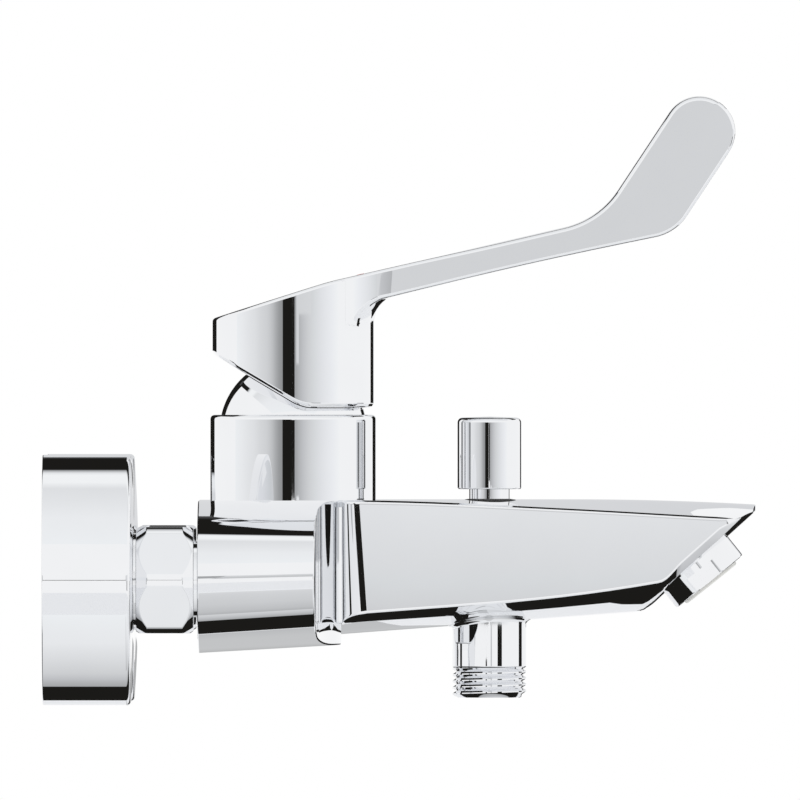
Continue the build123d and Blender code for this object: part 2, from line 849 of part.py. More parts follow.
def rounded_face(corners):
    """A face in the XZ plane from corners, each given with its radius."""
    points = [corner for corner, radius in corners]
    radii = [radius for corner, radius in corners]
    return make_face(Plane.XZ * FilletPolyline(*points, radius=radii, close=True))


def ridge():
    """Where the hub's top meets the arm's top, seen from the side."""
    return (turret_x + arm_top_from_axis, arm_top_height)


def arm_underside():
    """A point on the arm's underside, below the ridge."""
    upright = math.radians(90 - arm_under_angle)
    x, z = ridge()
    return (x + arm_thickness * math.cos(upright), z - arm_thickness * math.sin(upright))


def hub_side():
    """Side outline of the hub: plumb rear, rising cut below it, level skirt, sloping top."""
    rear = turret_x - hub_radius
    front = turret_x + hub_radius
    rear_top = (rear, pivot_height + hub_rear_height)
    rear_low = (rear, pivot_height + hub_rear_low)
    cut_foot = line_meet(rear_low, -hub_rear_cut_angle, (front, skirt_height), 0)
    rise = (front - ridge()[0]) * math.tan(math.radians(arm_top_angle))
    return rounded_face(
        [
            (rear_top, hub_rear_corner_radius),
            (rear_low, hub_rear_corner_radius),
            (cut_foot, hub_cut_radius),
            ((front, skirt_height), 0),
            ((front, arm_top_height + rise), 0),
            (ridge(), hub_ridge_radius),
        ]
    )


def arm_side():
    """Side outline of the arm and its upturned, round-ended paddle."""
    start = ridge()[0] + arm_start
    low = line_meet(arm_underside(), arm_under_angle, (start, 0), 90)
    high = line_meet(ridge(), arm_top_angle, (start, 0), 90)
    end_x = turret_x + paddle_end_from_axis
    along_x = math.cos(math.radians(paddle_angle))
    along_z = math.sin(math.radians(paddle_angle))
    half = paddle_width / 2
    right_side = (end_x + half * along_z, paddle_end_height - half * along_x)
    left_side = (end_x - half * along_z, paddle_end_height + half * along_x)
    right_end = (right_side[0] + half * along_x, right_side[1] + half * along_z)
    left_end = (left_side[0] + half * along_x, left_side[1] + half * along_z)
    elbow_low = line_meet(arm_underside(), arm_under_angle, right_side, paddle_angle)
    elbow_high = line_meet(ridge(), arm_top_angle, left_side, paddle_angle)
    return rounded_face(
        [
            (low, 0),
            (elbow_low, elbow_inner_radius),
            (right_end, half - paddle_end_flat / 2),
            (left_end, half - paddle_end_flat / 2),
            (elbow_high, elbow_outer_radius),
            (high, 0),
        ]
    )


def arm_half_width(x):
    """Half width of the arm in plan at x."""
    front = turret_x + hub_radius
    end = turret_x + paddle_end_from_axis + paddle_width
    share = (x - front) / (end - front)
    return arm_root_half_width + share * (arm_end_half_width - arm_root_half_width)


def arm_plan():
    """Plan outline of the tapering arm."""
    start = ridge()[0] + arm_start - 1
    end = turret_x + paddle_end_from_axis + paddle_width
    wide = arm_half_width(start)
    narrow = arm_half_width(end)
    return make_face(Polyline((start, -wide), (end, -narrow), (end, narrow), (start, wide), close=True))


def lever():
    """Lever casting: hub and arm blended under the arm, hollowed over the dome."""
    hub = extrude(hub_side(), hub_diameter, both=True)
    hub = hub & disc_z(hub_radius, 0, 2 * paddle_end_height, turret_x)
    arm = extrude(arm_side(), hub_diameter, both=True)
    arm = arm & extrude(arm_plan(), 2 * paddle_end_height)
    solid = hub + arm
    front = turret_x + hub_radius
    under_height = line_meet(arm_underside(), arm_under_angle, (front, 0), 90)[1]
    root_edges = [
        edge for edge in solid.edges().filter_by(GeomType.ELLIPSE)
        if abs(edge.center().X - front) < arm_start and abs(edge.center().Z - under_height) < arm_start / 2
    ]
    solid = fillet(root_edges, arm_root_blend)
    pivot = Pos(turret_x, 0, pivot_height)
    solid -= pivot * Sphere(hub_cavity_radius)
    socket = spindle_square + 2 * spindle_socket_clearance
    solid -= spindle_place() * Box(
        socket, socket, spindle_length, align=(Align.CENTER, Align.CENTER, Align.MIN)
    )
    solid -= grub_screw_place() * disc_z(grub_screw_diameter / 2 + thread_clearance, 0, hub_diameter)
    solid -= indicator_blank(far_reach)
    return solid


def grub_screw_place():
    """Grub screw frame: Z leaves the spindle's front face at right angles."""
    face = Pos(spindle_square / 2, 0, grub_screw_height)
    return spindle_place() * face * Rot(0, 90, 0)


def lever_grub_screw():
    """Socket set screw that holds the lever on the spindle."""
    screw = disc_z(grub_screw_diameter / 2, 0, grub_screw_length)
    socket = extrude(
        Plane.XY.offset(grub_screw_length - grub_hex) * RegularPolygon(grub_hex / 2, 6, major_radius=False),
        grub_hex,
    )
    return grub_screw_place() * (screw - socket)


def indicator_blank(proud):
    """Pill-shaped inlay across the lever's root, standing proud by a little."""
    rise = math.radians(arm_top_angle)
    ahead = indicator_from_axis - arm_top_from_axis
    height = arm_top_height + ahead * math.tan(rise)
    pill = SlotOverall(indicator_length, indicator_width, rotation=90)
    blank = extrude(Plane.XY.offset(-indicator_depth) * pill, indicator_depth + proud)
    return Pos(turret_x + indicator_from_axis, 0, height) * Rot(0, -arm_top_angle, 0) * blank


def indicator(hand):
    """Half of the inlay, on the hot or the cold side."""
    half = Pos(turret_x, hand * far_reach / 2, arm_top_height) * Box(far_reach, far_reach, far_reach)
    return indicator_blank(indicator_proud) & half


# Diverter
def diverter_knob():
    """Pull-up knob, hollow below to slide over the guide's neck."""
    top = knob_bottom + knob_height
    knob = Cylinder(knob_diameter / 2, knob_height, align=(Align.CENTER, Align.CENTER, Align.MIN))
    knob = fillet(knob.edges().group_by(Axis.Z)[-1], knob_edge_radius)
    knob = Pos(diverter_from_wall, 0, knob_bottom) * knob
    cavity_top = guide_top + 2 * knob_cavity_clearance
    knob -= disc_z(neck_diameter / 2 + knob_cavity_clearance, knob_bottom, cavity_top, diverter_from_wall)
    rod_top = guide_top + rod_above_neck
    hole_top = min(rod_top, top - knob_edge_radius)
    return knob - disc_z(rod_diameter / 2, cavity_top, hole_top, diverter_from_wall)


def diverter_guide():
    """Guide screwed into the spout: thread, flange, neck, spring chamber and rod bores."""
    x = diverter_from_wall
    flange_top = spout_top - guide_flange_sink
    guide = disc_z(guide_thread_diameter / 2, guide_base, flange_top, x)
    guide += disc_z(guide_flange_diameter / 2, flange_top - guide_flange_thickness, flange_top, x)
    guide += disc_z(neck_diameter / 2, flange_top, guide_top, x)
    guide -= disc_z(rod_diameter / 2 + rod_clearance, guide_base, guide_top, x)
    guide -= disc_z(spring_chamber_diameter / 2, collar_base, spring_top, x)
    groove_base = guide_base + guide_web / 2
    groove = rod_diameter / 2 + oring_section
    return guide - disc_z(groove, groove_base, groove_base + oring_section, x)


def diverter_oring():
    """Rod seal in its groove near the guide's foot."""
    groove_base = guide_base + guide_web / 2
    outer = rod_diameter / 2 + oring_section
    inner = rod_diameter / 2 + rod_clearance
    return ring_z(outer, inner, groove_base, groove_base + oring_section, diverter_from_wall)


def diverter_rod():
    """Pull rod from the valve disc up into the knob."""
    bottom = valve_disc_base
    top = min(guide_top + rod_above_neck, knob_bottom + knob_height - knob_edge_radius)
    return disc_z(rod_diameter / 2, bottom, top, diverter_from_wall)


def diverter_collar():
    """Collar on the rod that the return spring bears on."""
    return ring_z(
        collar_diameter / 2,
        rod_diameter / 2,
        collar_base + valve_gap,
        collar_base + valve_gap + collar_thickness,
        diverter_from_wall,
    )


def diverter_disc():
    """Rubber valve disc on the rod's foot."""
    top = valve_disc_base + valve_disc_thickness
    return ring_z(valve_disc_diameter / 2, rod_diameter / 2, valve_disc_base, top, diverter_from_wall)


def coil_spring(mean_radius, wire, coils, bottom, top, x):
    """A coil spring of hexagonal wire wound on a helix."""
    pitch = (top - bottom - wire) / coils
    path = Helix(pitch, pitch * coils, mean_radius)
    start = path @ 0
    profile = Plane(origin=start, z_dir=path % 0) * RegularPolygon(wire / 2, 6)
    return Pos(x, 0, bottom + wire / 2) * sweep(profile, path, is_frenet=True)


def diverter_spring():
    """Return spring between the collar and the guide's upper web."""
    bottom = collar_base + valve_gap + collar_thickness
    mean = (rod_diameter + spring_chamber_diameter) / 4
    low = bottom + spring_end_gap
    high = spring_top - spring_end_gap
    return coil_spring(mean, spring_wire, spring_coils, low, high, diverter_from_wall)


# Shower outlet
def shower_nipple():
    """Hose thread below an undercut and a plain shank, with the lower valve seat on top."""
    x = diverter_from_wall
    thread_top = outlet_boss_bottom - outlet_undercut
    spigot = disc_z(valve_chamber_diameter / 2 - thread_clearance, outlet_top, valve_seat_height, x)
    barrel = disc_z(half_inch_thread / 2, outlet_bottom, thread_top, x)
    barrel += disc_z(outlet_shank_diameter / 2, thread_top, outlet_top, x)
    seat_hole = disc_z(outlet_seat_hole / 2, outlet_bottom, valve_seat_height, x)
    bore = disc_z(outlet_bore / 2, outlet_bottom, valve_seat_height - outlet_seat_thickness, x)
    return spigot + barrel - seat_hole - bore


def check_valve_levels():
    """Levels of the check valve: cage bottom, spoke top, poppet head's underside, seat and cage top."""
    bottom = outlet_bottom + check_valve_setback
    top = bottom + check_valve_length
    seat = top - check_cage_web
    head_low = seat - poppet_seat_gap - poppet_thickness
    return bottom, bottom + check_cage_web, head_low, seat, top


def check_valve_cage():
    """Open cage with a seat above and a spoked guide for the poppet's stem below."""
    bottom, spoke_top, head_low, seat, top = check_valve_levels()
    x = diverter_from_wall
    outer = outlet_bore / 2 - thread_clearance
    inner = outer - check_cage_wall
    stem = poppet_stem_diameter / 2
    guide_top_level = bottom + stem_guide_height
    cage = ring_z(outer, inner, bottom, top, x)
    cage += ring_z(inner, check_seat_hole / 2, seat, top, x)
    cage += disc_z(stem + stem_guide_wall, bottom, guide_top_level, x)
    for turn in (0, 90):
        spoke = Box(2 * inner + check_cage_wall, check_spoke_width, check_cage_web)
        cage += Pos(x, 0, (bottom + spoke_top) / 2) * Rot(0, 0, turn) * spoke
    return cage - disc_z(stem + running_clearance, bottom, guide_top_level, x)


def check_valve_poppet():
    """Poppet below the seat, with a stem in the cage's guide."""
    bottom, spoke_top, head_low, seat, top = check_valve_levels()
    x = diverter_from_wall
    head = disc_z(poppet_diameter / 2, head_low, head_low + poppet_thickness, x)
    stem_low = bottom + poppet_stroke + spring_end_gap
    return head + disc_z(poppet_stem_diameter / 2, stem_low, head_low, x)


def check_valve_spring():
    """Closing spring round the stem's guide, from the spokes up to the poppet."""
    bottom, spoke_top, head_low, seat, top = check_valve_levels()
    low = spoke_top + spring_end_gap
    high = head_low - spring_end_gap
    x = diverter_from_wall
    return coil_spring(check_spring_radius, check_spring_wire, check_spring_coils, low, high, x)


# Aerator
def aerator_housing():
    """Nozzle ring with spanner flats outside the spout and a thread inside it."""
    proud_end = aerator_visible_length - aerator_face_drop
    thread_end = aerator_visible_length + aerator_thread_length
    proud = along_aerator(aerator_diameter / 2, 0, proud_end)
    thread = along_aerator(aerator_thread_diameter / 2, proud_end, thread_end)
    frame = aerator_frame()
    flats = extrude(
        frame.offset(-aerator_flat_length) * Rectangle(aerator_flat_width, 2 * aerator_diameter),
        aerator_flat_length,
    )
    band = along_aerator(aerator_diameter, 0, aerator_flat_length)
    ring = proud - (band - flats) + thread
    return ring - along_aerator(aerator_bore / 2, 0, thread_end)


def aerator_insert():
    """Jet insert, a little proud of the nozzle ring."""
    radius = aerator_bore / 2 - thread_clearance
    return along_aerator(radius, -aerator_insert_proud, aerator_insert_length)


def aerator_seal():
    """Flat seal between the nozzle ring and the floor of its port."""
    near = aerator_visible_length + aerator_thread_length
    far = near + aerator_seal_thickness
    ring = along_aerator(aerator_thread_diameter / 2, near, far)
    return ring - along_aerator(aerator_seal_bore / 2, near, far)


pieces = {
    "body_casting": body_casting(),
    "cartridge_base": cartridge_base(),
    "cartridge_seals": cartridge_seals(),
    "ceramic_disc_fixed": ceramic_disc_fixed(),
    "ceramic_disc_moving": ceramic_disc_moving(),
    "disc_carrier": disc_carrier(),
    "cartridge_housing": cartridge_housing(),
    "cartridge_swivel": cartridge_swivel(),
    "spindle_pin": spindle_pin(),
    "spindle": spindle(),
    "temperature_stop": temperature_stop(),
    "cartridge_clamp_nut": cartridge_clamp_nut(),
    "dome_cover": dome_cover(),
    "lever": lever(),
    "lever_grub_screw": lever_grub_screw(),
    "indicator_hot": indicator(-1),
    "indicator_cold": indicator(1),
    "diverter_knob": diverter_knob(),
    "diverter_guide": diverter_guide(),
    "diverter_oring": diverter_oring(),
    "diverter_rod": diverter_rod(),
    "diverter_collar": diverter_collar(),
    "diverter_disc": diverter_disc(),
    "diverter_spring": diverter_spring(),
    "shower_nipple": shower_nipple(),
    "check_valve_cage": check_valve_cage(),
    "check_valve_poppet": check_valve_poppet(),
    "check_valve_spring": check_valve_spring(),
    "aerator_housing": aerator_housing(),
    "aerator_insert": aerator_insert(),
    "aerator_seal": aerator_seal(),
}
for side, y in inlet_sides.items():
    pieces[f"escutcheon_{side}"] = escutcheon(y)
    pieces[f"s_union_{side}"] = s_union(y)
    pieces[f"union_gasket_{side}"] = union_gasket(y)
    pieces[f"inlet_nipple_{side}"] = inlet_nipple(y)
    pieces[f"union_nut_{side}"] = union_nut(y)

os.makedirs("parts", exist_ok=True)
for name, solid in pieces.items():
    export_step(solid, f"parts/{name}.step")
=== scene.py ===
import logging
import math
from dataclasses import dataclass, replace
from enum import Enum
from functools import cached_property
from typing import Callable, Sequence

import bmesh
import bpy
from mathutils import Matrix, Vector

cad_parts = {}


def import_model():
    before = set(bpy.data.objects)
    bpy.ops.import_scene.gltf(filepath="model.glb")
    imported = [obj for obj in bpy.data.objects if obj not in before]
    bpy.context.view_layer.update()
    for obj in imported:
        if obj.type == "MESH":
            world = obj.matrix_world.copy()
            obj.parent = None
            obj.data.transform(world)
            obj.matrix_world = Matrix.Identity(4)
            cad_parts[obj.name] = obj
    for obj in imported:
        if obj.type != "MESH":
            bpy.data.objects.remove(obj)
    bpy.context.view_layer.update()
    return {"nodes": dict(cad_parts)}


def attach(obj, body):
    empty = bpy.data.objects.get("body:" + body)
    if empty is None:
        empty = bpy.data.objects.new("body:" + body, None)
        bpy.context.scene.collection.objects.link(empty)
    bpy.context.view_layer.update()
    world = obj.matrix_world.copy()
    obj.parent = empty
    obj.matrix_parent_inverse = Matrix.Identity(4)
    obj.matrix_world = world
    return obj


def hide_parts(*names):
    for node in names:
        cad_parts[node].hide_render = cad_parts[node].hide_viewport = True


# A wall-mounted bath and shower mixer. Sizes are in millimetres and become metres in the meshes.
# +X leaves the wall, +Y runs from the hot to the cold inlet, +Z is up.
MM = 0.001
MERGE_DISTANCE = 0.0005
THREAD_MERGE_DISTANCE = 0.01
# How near a point counts as lying on a plane, in millimetres.
TOUCH = 0.001
ARC_PARTS = 6
ROUND_PARTS = 96
FINE_ROUND_PARTS = 144
SOLVE_STEPS = 40
SMOOTH_ANGLE = math.radians(32)
NORMAL_WEIGHT = 50
# The length after which a wave texture of scale 1 repeats.
WAVE_LENGTH = math.tau / 20

# Sizes that several sub-assemblies share
INLET_FROM_CENTRE = 75.0
TURRET_FROM_WALL = 70.45
DIVERTER_FROM_WALL = 126.2
SPOUT_ROOT = 84.1
SPOUT_REACH = 201.8
NOZZLE_FACE_ANGLE = 41.95
LEVER_RIDGE = (80.5, 84.3)
LEVER_TOP_ANGLE = 13.06
# The G1/2 pipe thread.
THREAD_RADIUS = 10.4775
THREAD_DEPTH = 1.16
THREAD_PITCH = 1.814

X_AXIS = Vector((1, 0, 0))
Y_AXIS = Vector((0, 1, 0))
Z_AXIS = Vector((0, 0, 1))

# Short names for the types that many functions share
Form = bmesh.types.BMesh
Tree = bpy.types.NodeTree
Socket = bpy.types.NodeSocket
Pair = tuple[float, float]
Ring = Callable[[float], Vector]
Measure = Callable[[Tree], Socket]

log = logging.getLogger("shower_mixer")


class Body(Enum):
    """The moving bodies of the frame."""

    MIXER = "mixer"
    HANDLE = "handle"
    DIVERTER = "diverter"


class Slot(Enum):
    """The finishes, named as the record's material slots."""

    CHROME = "chrome_plate"
    BRASS = "brass"
    STEEL = "stainless_steel"
    RUBBER = "rubber_seal"
    ALUMINA = "alumina"
    ACETAL = "acetal"
    RED = "hot_red"
    BLUE = "cold_blue"


class Hand(Enum):
    """The two water sides and the sign of their Y."""

    HOT = -1
    COLD = 1

    @property
    def word(self) -> str:
        """The side's name as the nodes have it."""
        return self.name.lower()

    @property
    def centre(self) -> Vector:
        """The axis point of the side's inlet on the wall plane."""
        return Y_AXIS * (self.value * INLET_FROM_CENTRE)


# Finishes
def linear(shade: str) -> tuple[float, float, float, float]:
    """Turn an sRGB hex colour into the linear colour the shaders use.

    Args:
        shade: The colour as "#RRGGBB".

    Returns:
        Linear red, green, blue and an alpha of one.
    """
    channels = [int(shade[start : start + 2], 16) / 255 for start in (1, 3, 5)]
    # The sRGB curve: a short straight foot, then a power.
    red, green, blue = (
        value / 12.92 if value <= 0.04045 else ((value + 0.055) / 1.055) ** 2.4 for value in channels
    )
    return red, green, blue, 1.0


def add_node(tree: Tree, kind: str, links: dict | None = None, **settings) -> bpy.types.Node:
    """Add one node with its settings, its socket values and its incoming links.

    Args:
        tree: The node tree that gets the node.
        kind: The node's type name.
        links: Input socket names or numbers with either an output socket to link or a value to set.
        **settings: Attributes of the node, such as its operation.

    Returns:
        The new node.
    """
    node = tree.nodes.new(kind)
    for name, value in settings.items():
        setattr(node, name, value)
    for name, source in (links or {}).items():
        socket = node.inputs[name]
        if isinstance(source, Socket):
            tree.links.new(source, socket)
        else:
            socket.default_value = source
    return node


def blank_material(name: str) -> bpy.types.Material:
    """Make a material whose node tree is empty.

    Args:
        name: The material's name.

    Returns:
        The new material.
    """
    material = bpy.data.materials.new(name)
    material.use_nodes = True
    material.node_tree.nodes.clear()
    return material


def reckon(tree: Tree, operation: str, *values: float | Socket) -> Socket:
    """Add one sum over some values, and return its result."""
    return add_node(tree, "ShaderNodeMath", dict(enumerate(values)), operation=operation).outputs[0]


def object_place(tree: Tree) -> Socket:
    """Add the place on the object, in metres."""
    return add_node(tree, "ShaderNodeTexCoord").outputs["Object"]


def speckle(tree: Tree, place: Socket, size: float, detail: float) -> Socket:
    """Add noise over a surface.

    Args:
        tree: The node tree that gets the noise.
        place: The place on the object.
        size: The width of the noise's patches, in millimetres.
        detail: How many finer layers it has.

    Returns:
        The noise's value.
    """
    links = {"Vector": place, "Scale": 1 / (size * MM), "Detail": detail}
    return add_node(tree, "ShaderNodeTexNoise", links).outputs["Fac"]


def between(tree: Tree, share: Socket, first: str, last: str) -> Socket:
    """Add a colour that runs from one shade to another.

    Args:
        tree: The node tree that gets the colour.
        share: How far the colour has run.
        first: The shade at 0, as "#RRGGBB".
        last: The shade at 1.

    Returns:
        The colour.
    """
    ramp = add_node(tree, "ShaderNodeValToRGB", {"Fac": share})
    for stop, shade in zip(ramp.color_ramp.elements, (first, last)):
        stop.color = linear(shade)
    return ramp.outputs["Color"]


@dataclass(frozen=True)
class Metal:
    """A metal surface: its colour, its polish and the fine texture of how it was made."""

    name: str
    shade: str
    dull_shade: str
    polish: float
    haze: float
    cloud_size: float
    ripple_size: float
    ripple_height: float
    groove_pitch: float = 0.0
    groove_depth: float = 0.0

    def build(self) -> bpy.types.Material:
        """Build the node material.

        Returns:
            The finished material.
        """
        material = blank_material(self.name)
        tree = material.node_tree
        place = object_place(tree)
        clouds = speckle(tree, place, self.cloud_size, 3.0)
        colour = between(tree, clouds, self.shade, self.dull_shade)
        roughness = add_node(
            tree,
            "ShaderNodeMapRange",
            {"Value": clouds, "To Min": self.polish, "To Max": self.polish + self.haze},
        ).outputs["Result"]
        ripple = speckle(tree, place, self.ripple_size, 1.0)
        relief = add_node(
            tree, "ShaderNodeBump", {"Height": ripple, "Distance": self.ripple_height * MM}
        ).outputs["Normal"]
        if self.groove_pitch:
            grooves = add_node(
                tree,
                "ShaderNodeTexWave",
                {"Vector": place, "Scale": WAVE_LENGTH / (self.groove_pitch * MM)},
                bands_direction="X",
            ).outputs["Fac"]
            relief = add_node(
                tree,
                "ShaderNodeBump",
                {"Height": grooves, "Distance": self.groove_depth * MM, "Normal": relief},
            ).outputs["Normal"]
        shader = add_node(
            tree,
            "ShaderNodeBsdfPrincipled",
            {"Base Color": colour, "Roughness": roughness, "Normal": relief, "Metallic": 1.0},
        )
        add_node(tree, "ShaderNodeOutputMaterial", {"Surface": shader.outputs["BSDF"]})
        return material


@dataclass(frozen=True)
class Moulding:
    """A plastic, rubber or ceramic surface with a faint mottle and a fine grain."""

    name: str
    shade: str
    mottle_shade: str
    roughness: float
    refraction: float
    mottle_size: float
    grain_size: float
    grain_height: float

    def build(self) -> bpy.types.Material:
        """Build the node material.

        Returns:
            The finished material.
        """
        material = blank_material(self.name)
        tree = material.node_tree
        place = object_place(tree)
        mottle = speckle(tree, place, self.mottle_size, 2.0)
        colour = between(tree, mottle, self.shade, self.mottle_shade)
        grain = speckle(tree, place, self.grain_size, 2.0)
        relief = add_node(
            tree, "ShaderNodeBump", {"Height": grain, "Distance": self.grain_height * MM}
        ).outputs["Normal"]
        shader = add_node(
            tree,
            "ShaderNodeBsdfPrincipled",
            {
                "Base Color": colour,
                "Roughness": self.roughness,
                "IOR": self.refraction,
                "Normal": relief,
            },
        )
        add_node(tree, "ShaderNodeOutputMaterial", {"Surface": shader.outputs["BSDF"]})
        return material


# Bright chromium over polished nickel: a near mirror, with the faintest haze and orange peel.
POLISHED_CHROME = Metal(
    name="polished_chrome_plate",
    shade="#F2F3F5",
    dull_shade="#EEEFF1",
    polish=0.006,
    haze=0.006,
    cloud_size=14.0,
    ripple_size=9.0,
    ripple_height=0.0002,
)
# Bar brass left as turned: warm yellow, with the tool's fine rings.
TURNED_BRASS = Metal(
    name="turned_brass",
    shade="#D9BC74",
    dull_shade="#C9A85C",
    polish=0.24,
    haze=0.12,
    cloud_size=6.0,
    ripple_size=1.5,
    ripple_height=0.004,
    groove_pitch=0.4,
    groove_depth=0.006,
)
# Drawn and ground stainless steel: grey, satin along its length.
DRAWN_STEEL = Metal(
    name="drawn_stainless_steel",
    shade="#CFCFCD",
    dull_shade="#BDBDBB",
    polish=0.2,
    haze=0.1,
    cloud_size=3.0,
    ripple_size=0.8,
    ripple_height=0.002,
)
# Pressed and cured EPDM: black, slightly chalky, with the mould's matt skin.
MOULDED_EPDM = Moulding(
    name="moulded_epdm_rubber",
    shade="#1B1B1B",
    mottle_shade="#262626",
    roughness=0.62,
    refraction=1.52,
    mottle_size=2.0,
    grain_size=0.3,
    grain_height=0.01,
)
# Fired and lapped alumina: warm white, dense and smooth.
LAPPED_ALUMINA = Moulding(
    name="lapped_alumina",
    shade="#F2EFE6",
    mottle_shade="#EAE6DB",
    roughness=0.18,
    refraction=1.76,
    mottle_size=1.5,
    grain_size=0.2,
    grain_height=0.001,
)
# Injection-moulded acetal: milky white with a soft gloss.
MOULDED_ACETAL = Moulding(
    name="moulded_acetal",
    shade="#ECEBE6",
    mottle_shade="#E2E1DB",
    roughness=0.35,
    refraction=1.48,
    mottle_size=4.0,
    grain_size=0.4,
    grain_height=0.003,
)
# Red and blue moulded inlays under a clear gloss.
RED_INLAY = Moulding(
    name="moulded_red_inlay",
    shade="#D3221E",
    mottle_shade="#C21B18",
    roughness=0.2,
    refraction=1.5,
    mottle_size=1.0,
    grain_size=0.3,
    grain_height=0.001,
)
BLUE_INLAY = replace(RED_INLAY, name="moulded_blue_inlay", shade="#1F4FC0", mottle_shade="#1945AB")


class Palette:
    """The finished materials, one for each slot."""

    def __init__(self) -> None:
        """Build every finish once."""
        finishes = {
            Slot.CHROME: POLISHED_CHROME,
            Slot.BRASS: TURNED_BRASS,
            Slot.STEEL: DRAWN_STEEL,
            Slot.RUBBER: MOULDED_EPDM,
            Slot.ALUMINA: LAPPED_ALUMINA,
            Slot.ACETAL: MOULDED_ACETAL,
            Slot.RED: RED_INLAY,
            Slot.BLUE: BLUE_INLAY,
        }
        self.materials = {slot: finish.build() for slot, finish in finishes.items()}

    def dress(self, piece: bpy.types.Object, slot: Slot) -> None:
        """Give a piece its finish.

        Args:
            piece: The mesh object to dress.
            slot: The finish it takes.
        """
        piece.data.materials.clear()
        piece.data.materials.append(self.materials[slot])


# Mesh helpers
@dataclass(frozen=True)
class Corner:
    """A corner of an outline and the radius it is rounded to."""

    along: float
    across: float
    radius: float = 0.0


def arc_points(start: Vector, end: Vector, centre: Vector, parts: int) -> list[Vector]:
    """Points of an arc from start to end about centre.

    Args:
        start: The arc's first point.
        end: The arc's last point.
        centre: The arc's centre.
        parts: How many parts the arc has.

    Returns:
        parts + 1 points, ends included.
    """
    first = start - centre
    last = end - centre
    turn = first.angle(last)
    points = []
    for step in range(parts + 1):
        share = step / parts
        spread = (first * math.sin((1 - share) * turn) + last * math.sin(share * turn)) / math.sin(turn)
        points.append(centre + spread)
    return points


def round_corner(before: Vector, corner: Vector, after: Vector, radius: float, parts: int) -> list[Vector]:
    """Round a corner between its two neighbours.

    Args:
        before: The point before the corner.
        corner: The corner.
        after: The point after it.
        radius: The rounding's radius.
        parts: How many parts it has.

    Returns:
        The rounding's points.
    """
    back = (before - corner).normalized()
    ahead = (after - corner).normalized()
    half = back.angle(ahead) / 2
    reach = radius / math.tan(half)
    centre = corner + (back + ahead).normalized() * (radius / math.sin(half))
    return arc_points(corner + back * reach, corner + ahead * reach, centre, parts)


def rounded_run(*corners: Corner) -> list[Vector]:
    """Turn an open run of corners into points, with each rounded corner as an arc.

    Args:
        *corners: The corners in order.

    Returns:
        The points of the run.
    """
    places = [Vector((corner.along, corner.across)) for corner in corners]
    points = [places[0]]
    for index in range(1, len(corners) - 1):
        radius = corners[index].radius
        if radius == 0:
            points.append(places[index])
        else:
            points += round_corner(*places[index - 1 : index + 2], radius, ARC_PARTS)
    points.append(places[-1])
    return points


def settle(form: Form) -> None:
    """Merge doubles, drop what collapsed and turn every face outwards.

    Args:
        form: The form to settle.
    """
    bmesh.ops.remove_doubles(form, verts=form.verts, dist=MERGE_DISTANCE)
    bmesh.ops.dissolve_degenerate(form, edges=form.edges, dist=MERGE_DISTANCE)
    bmesh.ops.recalc_face_normals(form, faces=form.faces)


def spun(
    outline: Sequence[Vector],
    centre: Vector,
    axis: Vector,
    closed: bool = False,
    parts: int = ROUND_PARTS,
) -> Form:
    """Spin an outline of (distance along the axis, radius) points into a round form.

    Args:
        outline: The outline's points.
        centre: A point on the axis, where the distance is zero.
        axis: The axis' direction.
        closed: Whether the outline's last point joins its first.
        parts: How many parts the full turn has.

    Returns:
        The round form.
    """
    form = bmesh.new()
    across = axis.orthogonal().normalized()
    chain = [form.verts.new(centre + axis * point.x + across * point.y) for point in outline]
    pairs = list(zip(chain, chain[1:]))
    if closed:
        pairs.append((chain[-1], chain[0]))
    edges = [form.edges.new(pair) for pair in pairs]
    bmesh.ops.spin(
        form, geom=[*chain, *edges], cent=centre, axis=axis, angle=math.tau, steps=parts, use_merge=True
    )
    settle(form)
    return form


def ringed(
    rings: Sequence[Ring],
    parts: int = ROUND_PARTS,
    closed: bool = False,
) -> Form:
    """Build a form ring by ring, each ring extruded from the last and set by its own formula.

    Args:
        rings: For each ring, a formula from the angle to the point.
        parts: How many points each ring has.
        closed: Whether the last ring joins the first.

    Returns:
        The form.
    """
    form = bmesh.new()
    circle = bmesh.ops.create_circle(form, cap_ends=False, radius=1.0, segments=parts)
    ring = list(circle["verts"])
    angles = [math.atan2(vertex.co.y, vertex.co.x) for vertex in ring]
    edges = list(form.edges)
    last = len(rings) - 1
    for number, place in enumerate(rings):
        for vertex, angle in zip(ring, angles):
            vertex.co = place(angle)
        if number == last:
            break
        for index, vertex in enumerate(ring):
            vertex.co = Vector((math.cos(angles[index]), math.sin(angles[index]), number))
        grown = bmesh.ops.extrude_edge_only(form, edges=edges)["geom"]
        for vertex, angle in zip(ring, angles):
            vertex.co = place(angle)
        ring = [part for part in grown if isinstance(part, bmesh.types.BMVert)]
        edges = [part for part in grown if isinstance(part, bmesh.types.BMEdge)]
        angles = [math.atan2(vertex.co.y, vertex.co.x) for vertex in ring]
    if closed:
        bmesh.ops.remove_doubles(form, verts=form.verts, dist=MERGE_DISTANCE)
    settle(form)
    return form


def slab(along: int, across: int, place: Callable[[int, int, bool], Vector]) -> Form:
    """Build a closed form from an extruded grid, each point of it set by a formula.

    Args:
        along: How many parts the grid has lengthwise.
        across: How many parts the grid has from side to side.
        place: The formula from the lengthwise number, the sideways number and whether on top.

    Returns:
        The form.
    """
    form = bmesh.new()
    bmesh.ops.create_grid(form, x_segments=along, y_segments=across, size=1.0)
    grown = bmesh.ops.extrude_face_region(form, geom=form.faces[:])["geom"]
    raised = [part for part in grown if isinstance(part, bmesh.types.BMVert)]
    bmesh.ops.translate(form, verts=raised, vec=(0, 0, 1))
    for vertex in form.verts:
        lengthwise = round((vertex.co.x + 1) / 2 * along)
        sideways = round((vertex.co.y + 1) / 2 * across)
        vertex.co = place(lengthwise, sideways, vertex.co.z > 0.5)
    settle(form)
    return form


